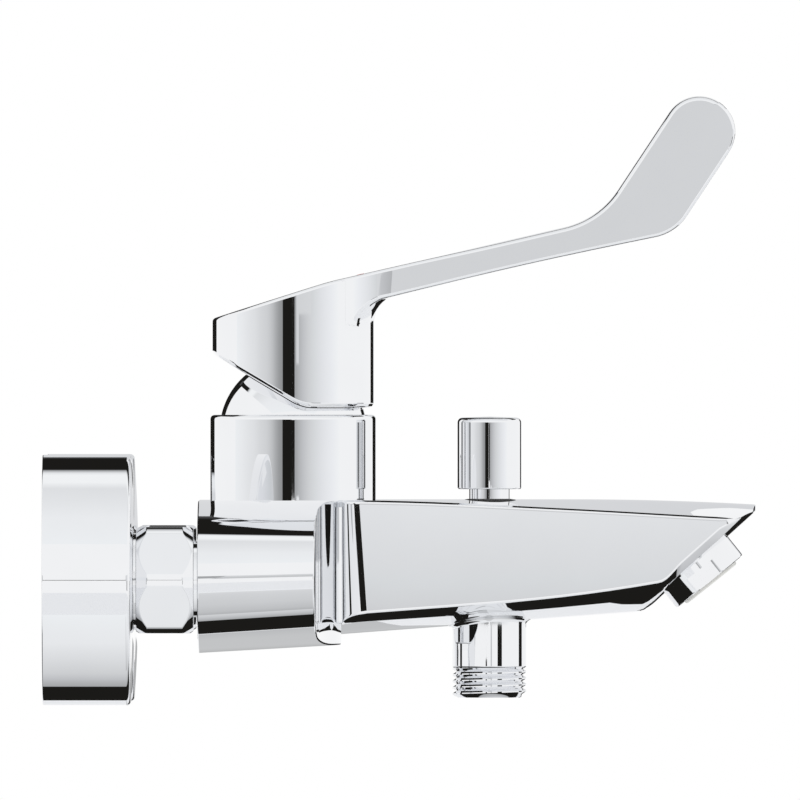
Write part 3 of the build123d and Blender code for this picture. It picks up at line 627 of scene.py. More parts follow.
def solve(gap: Callable[[float], float], low: float, high: float) -> float:
    """Find where a rising function crosses zero.

    Args:
        gap: The function.
        low: A value below the crossing.
        high: A value above the crossing.

    Returns:
        The crossing.
    """
    for _ in range(SOLVE_STEPS):
        middle = (low + high) / 2
        if gap(middle) < 0:
            low = middle
        else:
            high = middle
    return (low + high) / 2


def smooth_share(value: float) -> float:
    """Ease a share between 0 and 1, level at both ends."""
    share = min(1.0, max(0.0, value))
    return share * share * (3 - 2 * share)


def side_rows(inner: Sequence[float], rounds: int) -> list[Pair]:
    """Rows from one side of a form to the other, with a rounding at both sides.

    Args:
        inner: Shares of the level part, from just above 0 to 1.
        rounds: How many parts each rounding has.

    Returns:
        For each row a signed share of the level part and the angle round the edge.
    """
    outwards = [(share, 0.0) for share in inner]
    outwards += [(1.0, math.pi / 2 * step / rounds) for step in range(1, rounds + 1)]
    left = [(-share, angle) for share, angle in reversed(outwards)]
    return [*left, (0.0, 0.0), *outwards]


def heading(angle: float) -> Vector:
    """Direction in the side view at an angle in degrees above level."""
    return Vector((math.cos(math.radians(angle)), math.sin(math.radians(angle))))


def round_edges(
    form: Form,
    edges: Sequence[bmesh.types.BMEdge],
    radius: float,
    parts: int,
    clamped: bool = True,
) -> None:
    """Round some edges of a form.

    Args:
        form: The form.
        edges: The edges to round.
        radius: How far the rounding reaches from each edge.
        parts: How many parts it has.
        clamped: Whether it stops where it would meet another.
    """
    bmesh.ops.bevel(
        form,
        geom=edges,
        offset=radius,
        segments=parts,
        profile=0.5,
        affect="EDGES",
        clamp_overlap=clamped,
        material=-1,
    )


def mesh_object(name: str, form: Form) -> bpy.types.Object:
    """Put a form in the scene as an object.

    Args:
        name: The name of the mesh and the object.
        form: The form; it is freed.

    Returns:
        The new object.
    """
    mesh = bpy.data.meshes.new(name)
    form.to_mesh(mesh)
    form.free()
    made = bpy.data.objects.new(name, mesh)
    bpy.context.scene.collection.objects.link(made)
    return made


class Workbench:
    """Turns finished forms into pieces of the dressed part."""

    def __init__(self, palette: Palette) -> None:
        """Keep the palette that dresses the pieces."""
        self.palette = palette

    def publish(
        self,
        form: Form,
        name: str,
        nodes: Sequence[str] = (),
        body: Body = Body.MIXER,
        slot: Slot = Slot.CHROME,
        levelled: bool = True,
    ) -> bpy.types.Object:
        """Make a mesh object of a form and fit it to the frame.

        Args:
            form: The form in millimetres; it is freed.
            name: The piece's name.
            nodes: The frame's nodes it stands for.
            body: The body it rides on.
            slot: The finish it takes.
            levelled: Whether flat faces keep their own normals next to small roundings.

        Returns:
            The new object.
        """
        bmesh.ops.scale(form, verts=form.verts, vec=(MM, MM, MM))
        for face in form.faces:
            face.smooth = True
        piece = mesh_object(name, form)
        piece.data.set_sharp_from_angle(angle=SMOOTH_ANGLE)
        if levelled:
            normals = piece.modifiers.new("levelled_normals", "WEIGHTED_NORMAL")
            normals.mode = "FACE_AREA"
            normals.weight = NORMAL_WEIGHT
            normals.keep_sharp = True
        self.palette.dress(piece, slot)
        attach(piece, body.value)
        if nodes:
            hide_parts(*nodes)
        log.info("%s: %d faces", name, len(piece.data.polygons))
        return piece


@dataclass(frozen=True)
class PipeThread:
    """A rolled pipe thread: its outside radius, depth and pitch."""

    radius: float
    depth: float
    pitch: float
    parts: int = 48
    crests_per_pitch: float = 12.0
    lead_turns: float = 1.5

    def wind(self, start: float, end: float, centre: Vector, axis: Vector) -> Form:
        """Wind the thread between two distances along the axis.

        Args:
            start: Distance where the thread begins.
            end: Distance where it ends.
            centre: A point on the axis, where the distance is zero.
            axis: The axis' direction.

        Returns:
            The wound skin, trimmed square at both ends.
        """
        form = bmesh.new()
        across = axis.orthogonal().normalized()
        crest = self.pitch / self.crests_per_pitch
        profile = [
            (0.0, self.radius - self.depth),
            (self.pitch / 2 - crest, self.radius),
            (self.pitch / 2 + crest, self.radius),
            (self.pitch, self.radius - self.depth),
        ]
        begin = start - self.lead_turns * self.pitch
        chain = [
            form.verts.new(centre + axis * (begin + along) + across * radius) for along, radius in profile
        ]
        edges = [form.edges.new(pair) for pair in zip(chain, chain[1:])]
        turns = math.ceil((end - start) / self.pitch) + 2
        bmesh.ops.spin(
            form,
            geom=[*chain, *edges],
            cent=centre,
            axis=axis,
            dvec=axis * (self.pitch / self.parts),
            angle=math.tau * turns,
            steps=self.parts * turns,
        )
        bmesh.ops.remove_doubles(form, verts=form.verts, dist=THREAD_MERGE_DISTANCE)
        for distance, side in ((start, -1), (end, 1)):
            bmesh.ops.bisect_plane(
                form,
                geom=[*form.verts, *form.edges, *form.faces],
                plane_co=centre + axis * distance,
                plane_no=axis * side,
                clear_outer=True,
            )
        return form


# Sub-assemblies
@dataclass
class WallRose:
    """A deep cup-shaped rose that covers the wall hole of one inlet."""

    hand: Hand
    radius: float = 35.35
    depth: float = 24.9
    crown: float = 1.1
    wall: float = 1.3
    edge: float = 1.3
    lip: float = 0.3
    bore: float = 13.47
    crown_margin: float = 0.5
    crown_parts: int = 6

    def outline(self) -> list[Vector]:
        """Section of the cup, from its bore over the crown and round to the inside."""
        inner = self.radius - self.wall
        front = []
        reach = inner - self.bore - self.crown_margin
        for step in range(self.crown_parts + 1):
            radius = self.bore + reach * step / self.crown_parts
            front.append(Corner(self.depth + self.crown * (1 - (radius / inner) ** 2), radius))
        side = [
            Corner(self.depth, self.radius, self.edge),
            Corner(0.0, self.radius, self.lip),
            Corner(0.0, inner, self.lip),
            Corner(self.depth - self.wall, inner, self.edge / 2),
            Corner(self.depth - self.wall, self.bore),
        ]
        return rounded_run(*front, *side)

    def build(self, bench: Workbench) -> None:
        """Spin the cup and fit it.

        Args:
            bench: The workbench that makes the piece.
        """
        form = spun(self.outline(), self.hand.centre, X_AXIS, closed=True, parts=FINE_ROUND_PARTS)
        bench.publish(form, f"rose_{self.hand.word}", [f"escutcheon_{self.hand.word}"])


@dataclass
class WallUnion:
    """One inlet: the cranked union from the wall, its hexagonal nut and the body's inlet nipple."""

    hand: Hand
    crank: float = 7.5
    wall_end: float = 0.5
    crank_start: float = 12.0
    crank_end: float = 18.0
    union_end: float = 35.5
    wall_radius: float = THREAD_RADIUS
    nut_side_radius: float = 13.2205
    thread_depth: float = THREAD_DEPTH
    wall_pitch: float = THREAD_PITCH
    waterway: float = 7.0
    nut_start: float = 26.3
    nut_end: float = 42.6
    nut_flat: float = 15.0
    nut_bore: float = 13.27
    nut_shoulder: float = 10.75
    nut_end_radius: float = 14.45
    nut_chamfer_angle: float = 57.2
    nut_edge: float = 0.25
    flange_end: float = 40.0
    nipple_radius: float = 10.45
    nipple_end: float = 55.6
    nipple_bore: float = 6.75
    collar_radius: float = 12.2
    collar_gap: float = 2.0
    thread_lead: float = 0.6
    thread_stop: float = 1.4
    runout: float = 0.6
    nut_lead: float = 0.8
    nut_crease: float = 18.0
    nut_strip: float = 6.0
    shoulder_edge: float = 0.3
    union_parts: int = 72
    nut_parts: int = 60

    def cranked_skin(self) -> Form:
        """The union's outside and waterway as rings about its cranked axis.

        Returns:
            The form.
        """
        core = self.wall_radius - self.thread_depth
        stations = [
            (self.wall_end, self.waterway, 1.0),
            (self.wall_end, core, 1.0),
            (self.crank_start - 2 * self.runout, core, 1.0),
            (self.crank_start - self.runout, self.wall_radius, 1.0),
            (self.crank_start, self.wall_radius, 1.0),
            (self.crank_end, self.nut_side_radius, 0.0),
            (self.union_end, self.nut_side_radius, 0.0),
            (self.union_end, self.waterway, 0.0),
            (self.crank_end, self.waterway, 0.0),
            (self.crank_start, self.waterway, 1.0),
        ]

        def ring(along: float, radius: float, drop: float) -> Ring:
            """A ring across the union at one station."""
            middle = self.hand.centre + Vector((along, 0, -self.crank * drop))
            return lambda angle: middle + Vector((0, math.cos(angle), math.sin(angle))) * radius

        rings = [ring(*station) for station in (*stations, stations[0])]
        return ringed(rings, parts=self.union_parts, closed=True)

    def nut_rings(self) -> list[Ring]:
        """Rings of the nut: a hexagon with turned corners and chamfered ends, bored through."""
        strip = math.radians(self.nut_strip)
        corner_radius = self.nut_flat / math.cos(math.radians(30) - strip)
        rise = math.tan(math.radians(self.nut_chamfer_angle))
        end_radius = self.nut_end_radius

        def flat_radius(angle: float) -> float:
            """Distance from the axis to the nut's side at an angle."""
            sixth = math.radians(60)
            off = (angle + sixth / 2) % sixth - sixth / 2
            return min(self.nut_flat / math.cos(off), corner_radius)

        def crest(angle: float, side: int) -> Vector:
            """Where the end's cone meets the side, at either end of the nut."""
            radius = flat_radius(angle)
            depth = (radius - end_radius) * rise
            along = self.nut_start + depth if side < 0 else self.nut_end - depth
            return self.point(along, radius, angle)

        def round_ring(along: float, radius: float) -> Ring:
            """A plain round ring."""
            return lambda angle: self.point(along, radius, angle)

        return [
            round_ring(self.flange_end, self.nut_shoulder),
            round_ring(self.flange_end, self.nut_bore),
            round_ring(self.nut_start + self.nut_lead, self.nut_bore),
            round_ring(self.nut_start, self.nut_bore + self.nut_lead / 2),
            round_ring(self.nut_start, end_radius),
            lambda angle: crest(angle, -1),
            lambda angle: crest(angle, 1),
            round_ring(self.nut_end, end_radius),
            round_ring(self.nut_end, self.nut_shoulder + self.shoulder_edge),
            round_ring(self.nut_end - self.shoulder_edge, self.nut_shoulder),
            round_ring(self.flange_end, self.nut_shoulder),
        ]

    def point(self, along: float, radius: float, angle: float) -> Vector:
        """A point at a distance along the inlet's axis, a radius and an angle from the top."""
        return self.hand.centre + Vector((along, radius * math.sin(angle), radius * math.cos(angle)))

    def build(self, bench: Workbench) -> None:
        """Build and fit the union, nut and nipple.

        Args:
            bench: The workbench that makes the pieces.
        """
        word = self.hand.word
        bench.publish(self.cranked_skin(), f"union_{word}", [f"s_union_{word}"])
        thread = PipeThread(self.wall_radius, self.thread_depth, self.wall_pitch)
        low_centre = self.hand.centre + Vector((0, 0, -self.crank))
        begin = self.wall_end + self.thread_lead
        wound = thread.wind(begin, self.crank_start - self.thread_stop, low_centre, X_AXIS)
        bmesh.ops.recalc_face_normals(wound, faces=wound.faces)
        bench.publish(wound, f"union_thread_{word}")
        nut = ringed(self.nut_rings(), parts=self.nut_parts, closed=True)
        crease = math.radians(self.nut_crease)
        edges = [edge for edge in nut.edges if edge.is_manifold and edge.calc_face_angle() > crease]
        round_edges(nut, edges, self.nut_edge, 2)
        settle(nut)
        bench.publish(nut, f"nut_{word}", [f"union_nut_{word}"])
        neck = [
            Corner(self.union_end + self.collar_gap, self.nipple_bore),
            Corner(self.union_end + self.collar_gap, self.collar_radius),
            Corner(self.flange_end, self.collar_radius),
            Corner(self.flange_end, self.nipple_radius),
            Corner(self.nipple_end, self.nipple_radius),
            Corner(self.nipple_end, self.nipple_bore),
        ]
        nipple = spun(rounded_run(*neck), self.hand.centre, X_AXIS, closed=True)
        bench.publish(nipple, f"inlet_{word}", [f"inlet_nipple_{word}"])


@dataclass
class CrossBody:
    """The bar between the inlets, with round ends and a front drawn out to the spout."""

    rear: float = 43.6
    front: float = SPOUT_ROOT
    top: float = 22.4
    bottom: float = -20.9
    bottom_rise: float = 0.0568
    centre_half: float = 24.0
    shoulder: float = 61.0
    shoulder_drop: float = 3.4
    inlet_from_centre: float = INLET_FROM_CENTRE
    nose_radius: Pair = (14.6, 12.7)
    nose_height: Pair = (0.5, 1.5)
    nose_angle: float = 60.0
    arm_front: float = 77.4
    arm_taper: float = 0.8
    arm_end: float = 90.0
    sweep_half: float = 60.0
    root_half: float = 19.0
    rear_edge: float = 0.4
    front_edge: float = 0.5
    crease_angle: float = 35.0
    rear_edge_parts: int = 4
    front_edge_parts: int = 3
    plan_passes: int = 3
    centre_parts: int = 3
    flank_parts: int = 14
    nose_parts: int = 12

    def plan(self, y: float) -> float:
        """How far the front stands from the wall at a sideways place."""
        out = abs(y)
        if out <= self.root_half:
            return self.front
        if out >= self.sweep_half:
            span = self.arm_end - self.sweep_half
            return self.arm_front - self.arm_taper * (out - self.sweep_half) / span
        run = self.sweep_half - self.root_half
        rise = self.front - self.arm_front
        radius = (run * run + rise * rise) / (2 * rise)
        return self.arm_front + radius - math.sqrt(radius**2 - (self.sweep_half - out) ** 2)

    def flank(
        self, y: float, end_y: float, start_z: float, middle_z: float, end_z: float, end_slope: float
    ) -> float:
        """Height of a flank that is level at the centre and runs smoothly into the nose.

        Args:
            y: The sideways place.
            end_y: Where the flank meets the nose.
            start_z: Height at the level centre.
            middle_z: Height at the shoulder.
            end_z: Height where it meets the nose.
            end_slope: Slope there.

        Returns:
            The height.
        """
        first = self.shoulder - self.centre_half
        second = end_y - self.shoulder
        lead = (middle_z - start_z) / first
        tail = (end_z - middle_z) / second
        slope = (3 * lead / first + (3 * tail - end_slope) / second) / (2 / first + 2 / second)
        if y <= self.shoulder:
            low, span, begin, finish, slopes = self.centre_half, first, start_z, middle_z, (0.0, slope)
        else:
            low, span, begin, finish, slopes = self.shoulder, second, middle_z, end_z, (slope, end_slope)
        share = (y - low) / span
        pull = share * (1 - share) ** 2 * slopes[0] - share * share * (1 - share) * slopes[1]
        return begin + (finish - begin) * smooth_share(share) + pull * span

    def section_point(self, x: float, station: int, on_top: bool) -> Pair:
        """Sideways place and height of the section's outline.

        Args:
            x: Distance from the wall.
            station: Signed number of the place, 0 in the middle.
            on_top: Whether on the upper half.

        Returns:
            The sideways place, without its sign, and the height.
        """
        share = (x - self.rear) / (self.front - self.rear)
        radius = self.nose_radius[0] + share * (self.nose_radius[1] - self.nose_radius[0])
        height = self.nose_height[0] + share * (self.nose_height[1] - self.nose_height[0])
        level = self.top if on_top else self.bottom + self.bottom_rise * (x - self.rear)
        up = 1 if on_top else -1
        number = abs(station)
        if number <= self.centre_parts:
            return self.centre_half * number / self.centre_parts, level
        number -= self.centre_parts
        turn = math.radians(self.nose_angle)
        end_y = self.inlet_from_centre + radius * math.cos(turn)
        if number <= self.flank_parts:
            y = self.centre_half + (end_y - self.centre_half) * number / self.flank_parts
            end_z = height + up * radius * math.sin(turn)
            slope = -up / math.tan(turn)
            middle = level - up * self.shoulder_drop
            return y, self.flank(y, end_y, level, middle, end_z, slope)
        angle = turn * (1 - (number - self.flank_parts) / self.nose_parts)
        y = self.inlet_from_centre + radius * math.cos(angle)
        return y, height + up * radius * math.sin(angle)

    def build(self, bench: Workbench) -> None:
        """Build the bar, round its rear edge and its front crease, and fit it.

        Args:
            bench: The workbench that makes the piece.
        """
        half = self.centre_parts + self.flank_parts + self.nose_parts

        def place(lengthwise: int, sideways: int, on_top: bool) -> Vector:
            """A point of the bar."""
            station = sideways - half
            x = self.rear
            if lengthwise:
                x = self.front
                for _ in range(self.plan_passes):
                    x = self.plan(self.section_point(x, station, on_top)[0])
            y, z = self.section_point(x, station, on_top)
            return Vector((x, math.copysign(y, station) if station else 0.0, z))

        form = slab(1, 2 * half, place)
        rear_faces = [face for face in form.faces if all(v.co.x < self.rear + TOUCH for v in face.verts)]
        bmesh.ops.dissolve_faces(form, faces=rear_faces)
        for sign in (-1, 1):
            end_faces = [
                face
                for face in form.faces
                if all(v.co.x > self.rear + TOUCH and sign * v.co.y > self.sweep_half for v in face.verts)
            ]
            bmesh.ops.dissolve_faces(form, faces=end_faces)
        crease = math.radians(self.crease_angle)
        for at_rear, radius, parts in (
            (True, self.rear_edge, self.rear_edge_parts),
            (False, self.front_edge, self.front_edge_parts),
        ):
            edges = [
                edge
                for edge in form.edges
                if all((v.co.x < self.rear + TOUCH) == at_rear for v in edge.verts)
                and edge.is_manifold
                and edge.calc_face_angle() > crease
            ]
            round_edges(form, edges, radius, parts)
        settle(form)
        bench.publish(form, "casting_bar", ["body_casting"])


@dataclass
class Turret:
    """The round housing for the cartridge and the spherical cover on it."""

    axis_from_wall: float = TURRET_FROM_WALL
    foot: float = 20.4
    radius: float = 23.5
    top: float = 46.6
    rim: float = 1.2
    bore: float = 21.1
    ledge: float = 40.5
    dome_radius: float = 20.9
    dome_wall: float = 1.1
    dome_centre: float = 42.0
    dome_hole: float = 12.5
    dome_clear: float = 0.05
    rim_support: float = 0.25
    bore_edge: float = 0.3
    dome_parts: int = 32
    dome_inner_parts: int = 12

    def build(self, bench: Workbench) -> None:
        """Spin the housing and the cover, and fit them.

        Args:
            bench: The workbench that makes the pieces.
        """
        centre = Vector((self.axis_from_wall, 0, 0))
        outline = rounded_run(
            Corner(self.foot, self.radius),
            Corner(self.top - self.rim - self.rim_support, self.radius),
            Corner(self.top, self.radius, self.rim),
            Corner(self.top, self.bore, self.bore_edge),
            Corner(self.ledge, self.bore),
            Corner(self.ledge, self.dome_hole),
        )
        housing = spun(outline, centre, Z_AXIS, parts=FINE_ROUND_PARTS)
        bench.publish(housing, "casting_turret")
        points = [Vector((self.ledge + self.dome_clear, self.dome_radius))]
        limit = math.acos(self.dome_hole / self.dome_radius)
        for step in range(self.dome_parts + 1):
            angle = limit * step / self.dome_parts
            height = self.dome_centre + self.dome_radius * math.sin(angle)
            points.append(Vector((height, self.dome_radius * math.cos(angle))))
        inner = self.dome_radius - self.dome_wall
        limit = math.acos(self.dome_hole / inner)
        for step in range(self.dome_inner_parts, -1, -1):
            angle = limit * step / self.dome_inner_parts
            points.append(Vector((self.dome_centre + inner * math.sin(angle), inner * math.cos(angle))))
        points.append(Vector((self.ledge + self.dome_clear, inner)))
        dome = spun(points, centre, Z_AXIS, closed=True, parts=FINE_ROUND_PARTS)
        bench.publish(dome, "dome", ["dome_cover"])


@dataclass(frozen=True)
class Row:
    """One lengthwise row of the spout: where it runs across the section.

    share is its part of the half width that is left inside inset, and offset is how far it
    stands back from the skin, both in millimetres at full size.
    """

    share: float
    inset: float
    offset: float = 0.0


def spread_rows(shares: Sequence[float], inset: float, edge: Sequence[Pair]) -> tuple[Row, ...]:
    """Rows over a crowned skin and then over its edge.

    Args:
        shares: Shares of the crowned part, 0 in the middle.
        inset: Where the crowned part ends, in from the side.
        edge: For each row over the edge its inset and offset.

    Returns:
        The rows from the middle outwards.
    """
    crowned = [Row(share, inset) for share in shares]
    return (*crowned, *(Row(1.0, inwards, offset) for inwards, offset in edge))


FIFTHS = (0.0, 0.2, 0.4, 0.6, 0.8, 1.0)
QUARTERS = (0.0, 0.25, 0.5, 0.75, 1.0)
FACE_LEVEL = 2.15
TOP_ROWS = spread_rows(
    FIFTHS,
    1.25,
    ((1.1, 0.03), (0.18, 0.41), (0.05, 0.5), (0.0, 0.62), (0.0, 1.2)),
)
FACE_ROWS = spread_rows(
    QUARTERS,
    2.6,
    ((FACE_LEVEL, 0.0), (2.0, 0.06), (0.22, 2.45), (0.06, 2.62), (0.0, 2.8), (0.0, 3.3)),
)


@dataclass
class Spout:
    """The tapering spout: plumb side facets, crowned top and underside, slanted nozzle face."""

    root: float = SPOUT_ROOT
    inside: float = 83.2
    reach: float = SPOUT_REACH
    bow: float = 6.0
    root_half: float = 23.3
    tip_half: float = 17.5
    facet_start: Pair = (89.4, 91.5)
    strip: float = 1.42
    strip_slope: float = 0.0787
    strip_edge: float = 0.12
    root_depth: float = 4.0
    root_clear: float = 0.2
    top: float = 22.6
    droop: float = 1.5
    droop_length: float = 51.8
    fall: Pair = (0.2, 4.4)
    top_ridge: float = 0.15
    bottom: float = -15.7
    bottom_rise: float = 0.0748
    under_crown: float = 5.6
    crown_growth: float = 0.00104
    growth_from: float = DIVERTER_FROM_WALL
    growth_to: float = 172.0
    under_slope: Pair = (0.22, 0.285)
    under_round: Pair = (5.0, 1.5)
    flank_slope: float = 0.66
    flank_blend: float = 0.6
    face_angle: float = NOZZLE_FACE_ANGLE
    face_crown: float = 96.0
    lip: float = 2.1
    lip_edge: float = 0.25
    corner_bevel: float = 2.0
    full_height: float = 4.8
    crease_blend: float = 2.4
    crease_span: float = 1.5
    crease_from: float = 140.0
    crease_samples: int = 20
    flank_reach: Pair = (4.4, 1.4)
    flank_margin: float = 0.5
    under_edge: tuple[Pair, ...] = ((0.35, 0.0), (0.1, 0.1), (0.0, 0.35), (0.0, 0.9))
    face_lead: float = 3.0
    tip_passes: int = 6
    root_parts: int = 10
    strip_parts: int = 2
    straight_parts: int = 12
    crease_parts: int = 6
    face_parts: int = 6

    @property
    def corner(self) -> float:
        """Distance from the wall of the tip's corners."""
        return self.reach - self.bow

    def straight_half(self, x: float) -> float:
        """Half width of the straight tapering sides."""
        share = (x - self.root) / (self.corner - self.root)
        return self.root_half + share * (self.tip_half - self.root_half)

    def half_width(self, x: float, on_top: bool) -> float:
        """Half width in plan: straight side, narrow strip, then the rounded root."""
        start = self.facet_start[0 if on_top else 1]
        if x >= start:
            return self.straight_half(x)
        half = self.straight_half(start)
        if x >= start - self.strip:
            return half - (start - x) * self.strip_slope
        half -= self.strip * self.strip_slope
        span = start - self.strip - self.root - self.root_clear
        share = min(1.0, (start - self.strip - x) / span)
        return half - self.root_depth * (1 - math.sqrt(1 - share * share))

    def tip(self, y: float) -> float:
        """How far the bowed tip reaches at a sideways place, with bevelled corners."""
        radius = (self.tip_half**2 + self.bow**2) / (2 * self.bow)
        bevel = max(0.0, y - self.tip_half + self.corner_bevel)
        return self.reach - radius + math.sqrt(radius**2 - y * y) - bevel

    def top_height(self, x: float, y: float) -> float:
        """Height of the crowned top."""
        share = (x - self.root) / (self.corner - self.root)
        past = max(0.0, x - self.reach + self.droop_length) / self.droop_length
        fall = self.fall[0] + smooth_share(share) * (self.fall[1] - self.fall[0])
        out = y / self.straight_half(x)
        ridge = self.top_ridge
        crowned = (math.hypot(out, ridge) - ridge) / (math.hypot(1.0, ridge) - ridge)
        return self.top - self.droop * past**2 - fall * crowned

    def under_height(self, x: float, y: float) -> float:
        """Height of the underside: gently crowned, with a steeper flank under each side facet."""
        past = max(0.0, x - self.growth_from)
        ripe = smooth_share(past / (self.growth_to - self.growth_from))
        half = self.straight_half(x)
        drop = self.under_crown + self.crown_growth * past**2
        slope = self.under_slope[0] + ripe * (self.under_slope[1] - self.under_slope[0])
        middle = self.under_round[0] + ripe * (self.under_round[1] - self.under_round[0])
        steeper = self.flank_slope - slope
        left = max(0.0, drop - slope * (math.hypot(half, middle) - middle)) / steeper
        flank = (left + math.sqrt(left * left + 4 * self.flank_blend * left)) / 2
        out = max(0.0, y - half + flank)
        level = self.bottom + self.bottom_rise * (x - self.root)
        crown = slope * (math.hypot(y, middle) - middle)
        return level + crown + steeper * out * out / (out + self.flank_blend)

    def flank_width(self, x: float) -> float:
        """Rough width of the steeper flank at a distance from the wall."""
        ripe = smooth_share((x - self.growth_from) / (self.growth_to - self.growth_from))
        return self.flank_reach[0] + self.flank_reach[1] * ripe

    def face_height(self, x: float, y: float) -> float:
        """Height of the slanted, crowned nozzle face."""
        angle = math.radians(self.face_angle)
        lip_height = self.top - self.droop - self.lip
        set_back = self.face_crown - math.sqrt(self.face_crown**2 - y * y)
        outwards = self.reach * math.sin(angle) - lip_height * math.cos(angle) - set_back
        return (x * math.sin(angle) - outwards) / math.cos(angle)

    def low_height(self, x: float, y: float) -> float:
        """Height of the lower skin: underside and face, blended where they meet."""
        y = abs(y)
        under = self.under_height(x, y)
        face = self.face_height(x, y)
        near = max(0.0, self.crease_blend - abs(under - face)) / self.crease_blend
        return max(under, face) + near * near * self.crease_blend / 4

    @cached_property
    def creases(self) -> list[float]:
        """Where the underside meets the face, for rows at even shares of the half width."""
        found = []
        for step in range(self.crease_samples + 1):
            share = step / self.crease_samples
            found.append(
                solve(
                    lambda x: self.face_height(x, share * self.straight_half(x))
                    - self.under_height(x, share * self.straight_half(x)),
                    self.crease_from,
                    self.corner,
                )
            )
        return found

    def crease(self, share: float) -> float:
        """Where the underside meets the face, at a share of the half width."""
        place = min(share, 1.0) * self.crease_samples
        low = min(self.crease_samples - 1, int(place))
        return self.creases[low] + (place - low) * (self.creases[low + 1] - self.creases[low])

    def under_rows(self, x: float) -> tuple[Row, ...]:
        """Rows over the underside and its flanks."""
        flank = self.flank_width(x)
        edge = ((flank - self.flank_margin, 0.0), (flank / 2, 0.0), *self.under_edge)
        return spread_rows(QUARTERS, flank, edge)

    def station(self, number: int, share: float, on_top: bool) -> Pair:
        """Distance from the wall of a lengthwise station on one row.

        Args:
            number: The station's number from the root.
            share: The row's share of the half width.
            on_top: Whether on the top.

        Returns:
            The distance, and how far the lip's edge stands back there.
        """
        if number == 0:
            return self.inside, 0.0
        number -= 1
        start = self.facet_start[0 if on_top else 1]
        if number <= self.root_parts:
            turn = math.pi / 2 * (1 - number / self.root_parts)
            span = start - self.strip - self.root - self.root_clear
            return start - self.strip - span * math.sin(turn), 0.0
        number -= self.root_parts
        if number <= self.strip_parts:
            return start - (self.strip_parts - number) * self.strip_edge, 0.0
        number -= self.strip_parts
        crease = self.crease(share)
        blend = self.crease_span * self.crease_blend
        if number <= self.straight_parts:
            return start + (crease - blend - start) * number / self.straight_parts, 0.0
        number -= self.straight_parts
        if number <= self.crease_parts:
            return crease - blend + 2 * blend * number / self.crease_parts, 0.0
        number -= self.crease_parts
        end = self.corner
        for _ in range(self.tip_passes):
            end = self.tip(share * self.straight_half(end))
        if number <= self.face_parts:
            begin = crease + blend
            return begin + (end - self.lip_edge - begin) * number / self.face_parts, 0.0
        return end, self.lip_edge

    def place(self, lengthwise: int, sideways: int, on_top: bool) -> Vector:
        """A point of the spout."""
        number = abs(sideways - len(TOP_ROWS) + 1)
        sign = -1 if sideways < len(TOP_ROWS) - 1 else 1
        guess = TOP_ROWS[number] if on_top else FACE_ROWS[number]
        edge_share = guess.share * (1 - guess.inset / self.straight_half(self.corner))
        x, back = self.station(lengthwise, edge_share, on_top)
        half = self.half_width(x, on_top)
        height = self.top_height(x, half) - self.low_height(x, half)
        scale = min(1.0, height / self.full_height)
        if on_top:
            row = TOP_ROWS[number]
            y = row.share * (half - row.inset * scale)
            skin = self.top_height(x, min(y, half - TOP_ROWS[0].inset * scale))
            return Vector((x, sign * y, skin - row.offset * scale - back))
        slanted = smooth_share((x - self.creases[-1] + self.face_lead) / (2 * self.face_lead))
        under = self.under_rows(x)[number]
        face = FACE_ROWS[number]
        share = under.share + slanted * (face.share - under.share)
        inset = under.inset + slanted * (face.inset * scale - under.inset)
        offset = under.offset + slanted * (face.offset * scale - under.offset)
        y = share * (half - inset)
        level = self.under_edge[0][0]
        reference = level + slanted * (FACE_LEVEL * scale - level)
        skin = self.low_height(x, min(y, half - reference))
        return Vector((x, sign * y, skin + offset + back))

    def build(self, bench: Workbench) -> None:
        """Build and fit the spout.

        Args:
            bench: The workbench that makes the piece.
        """
        root = 1 + self.root_parts + self.strip_parts
        along = root + self.straight_parts + self.crease_parts + self.face_parts + 1
        form = slab(along, 2 * (len(TOP_ROWS) - 1), self.place)
        bench.publish(form, "casting_spout")


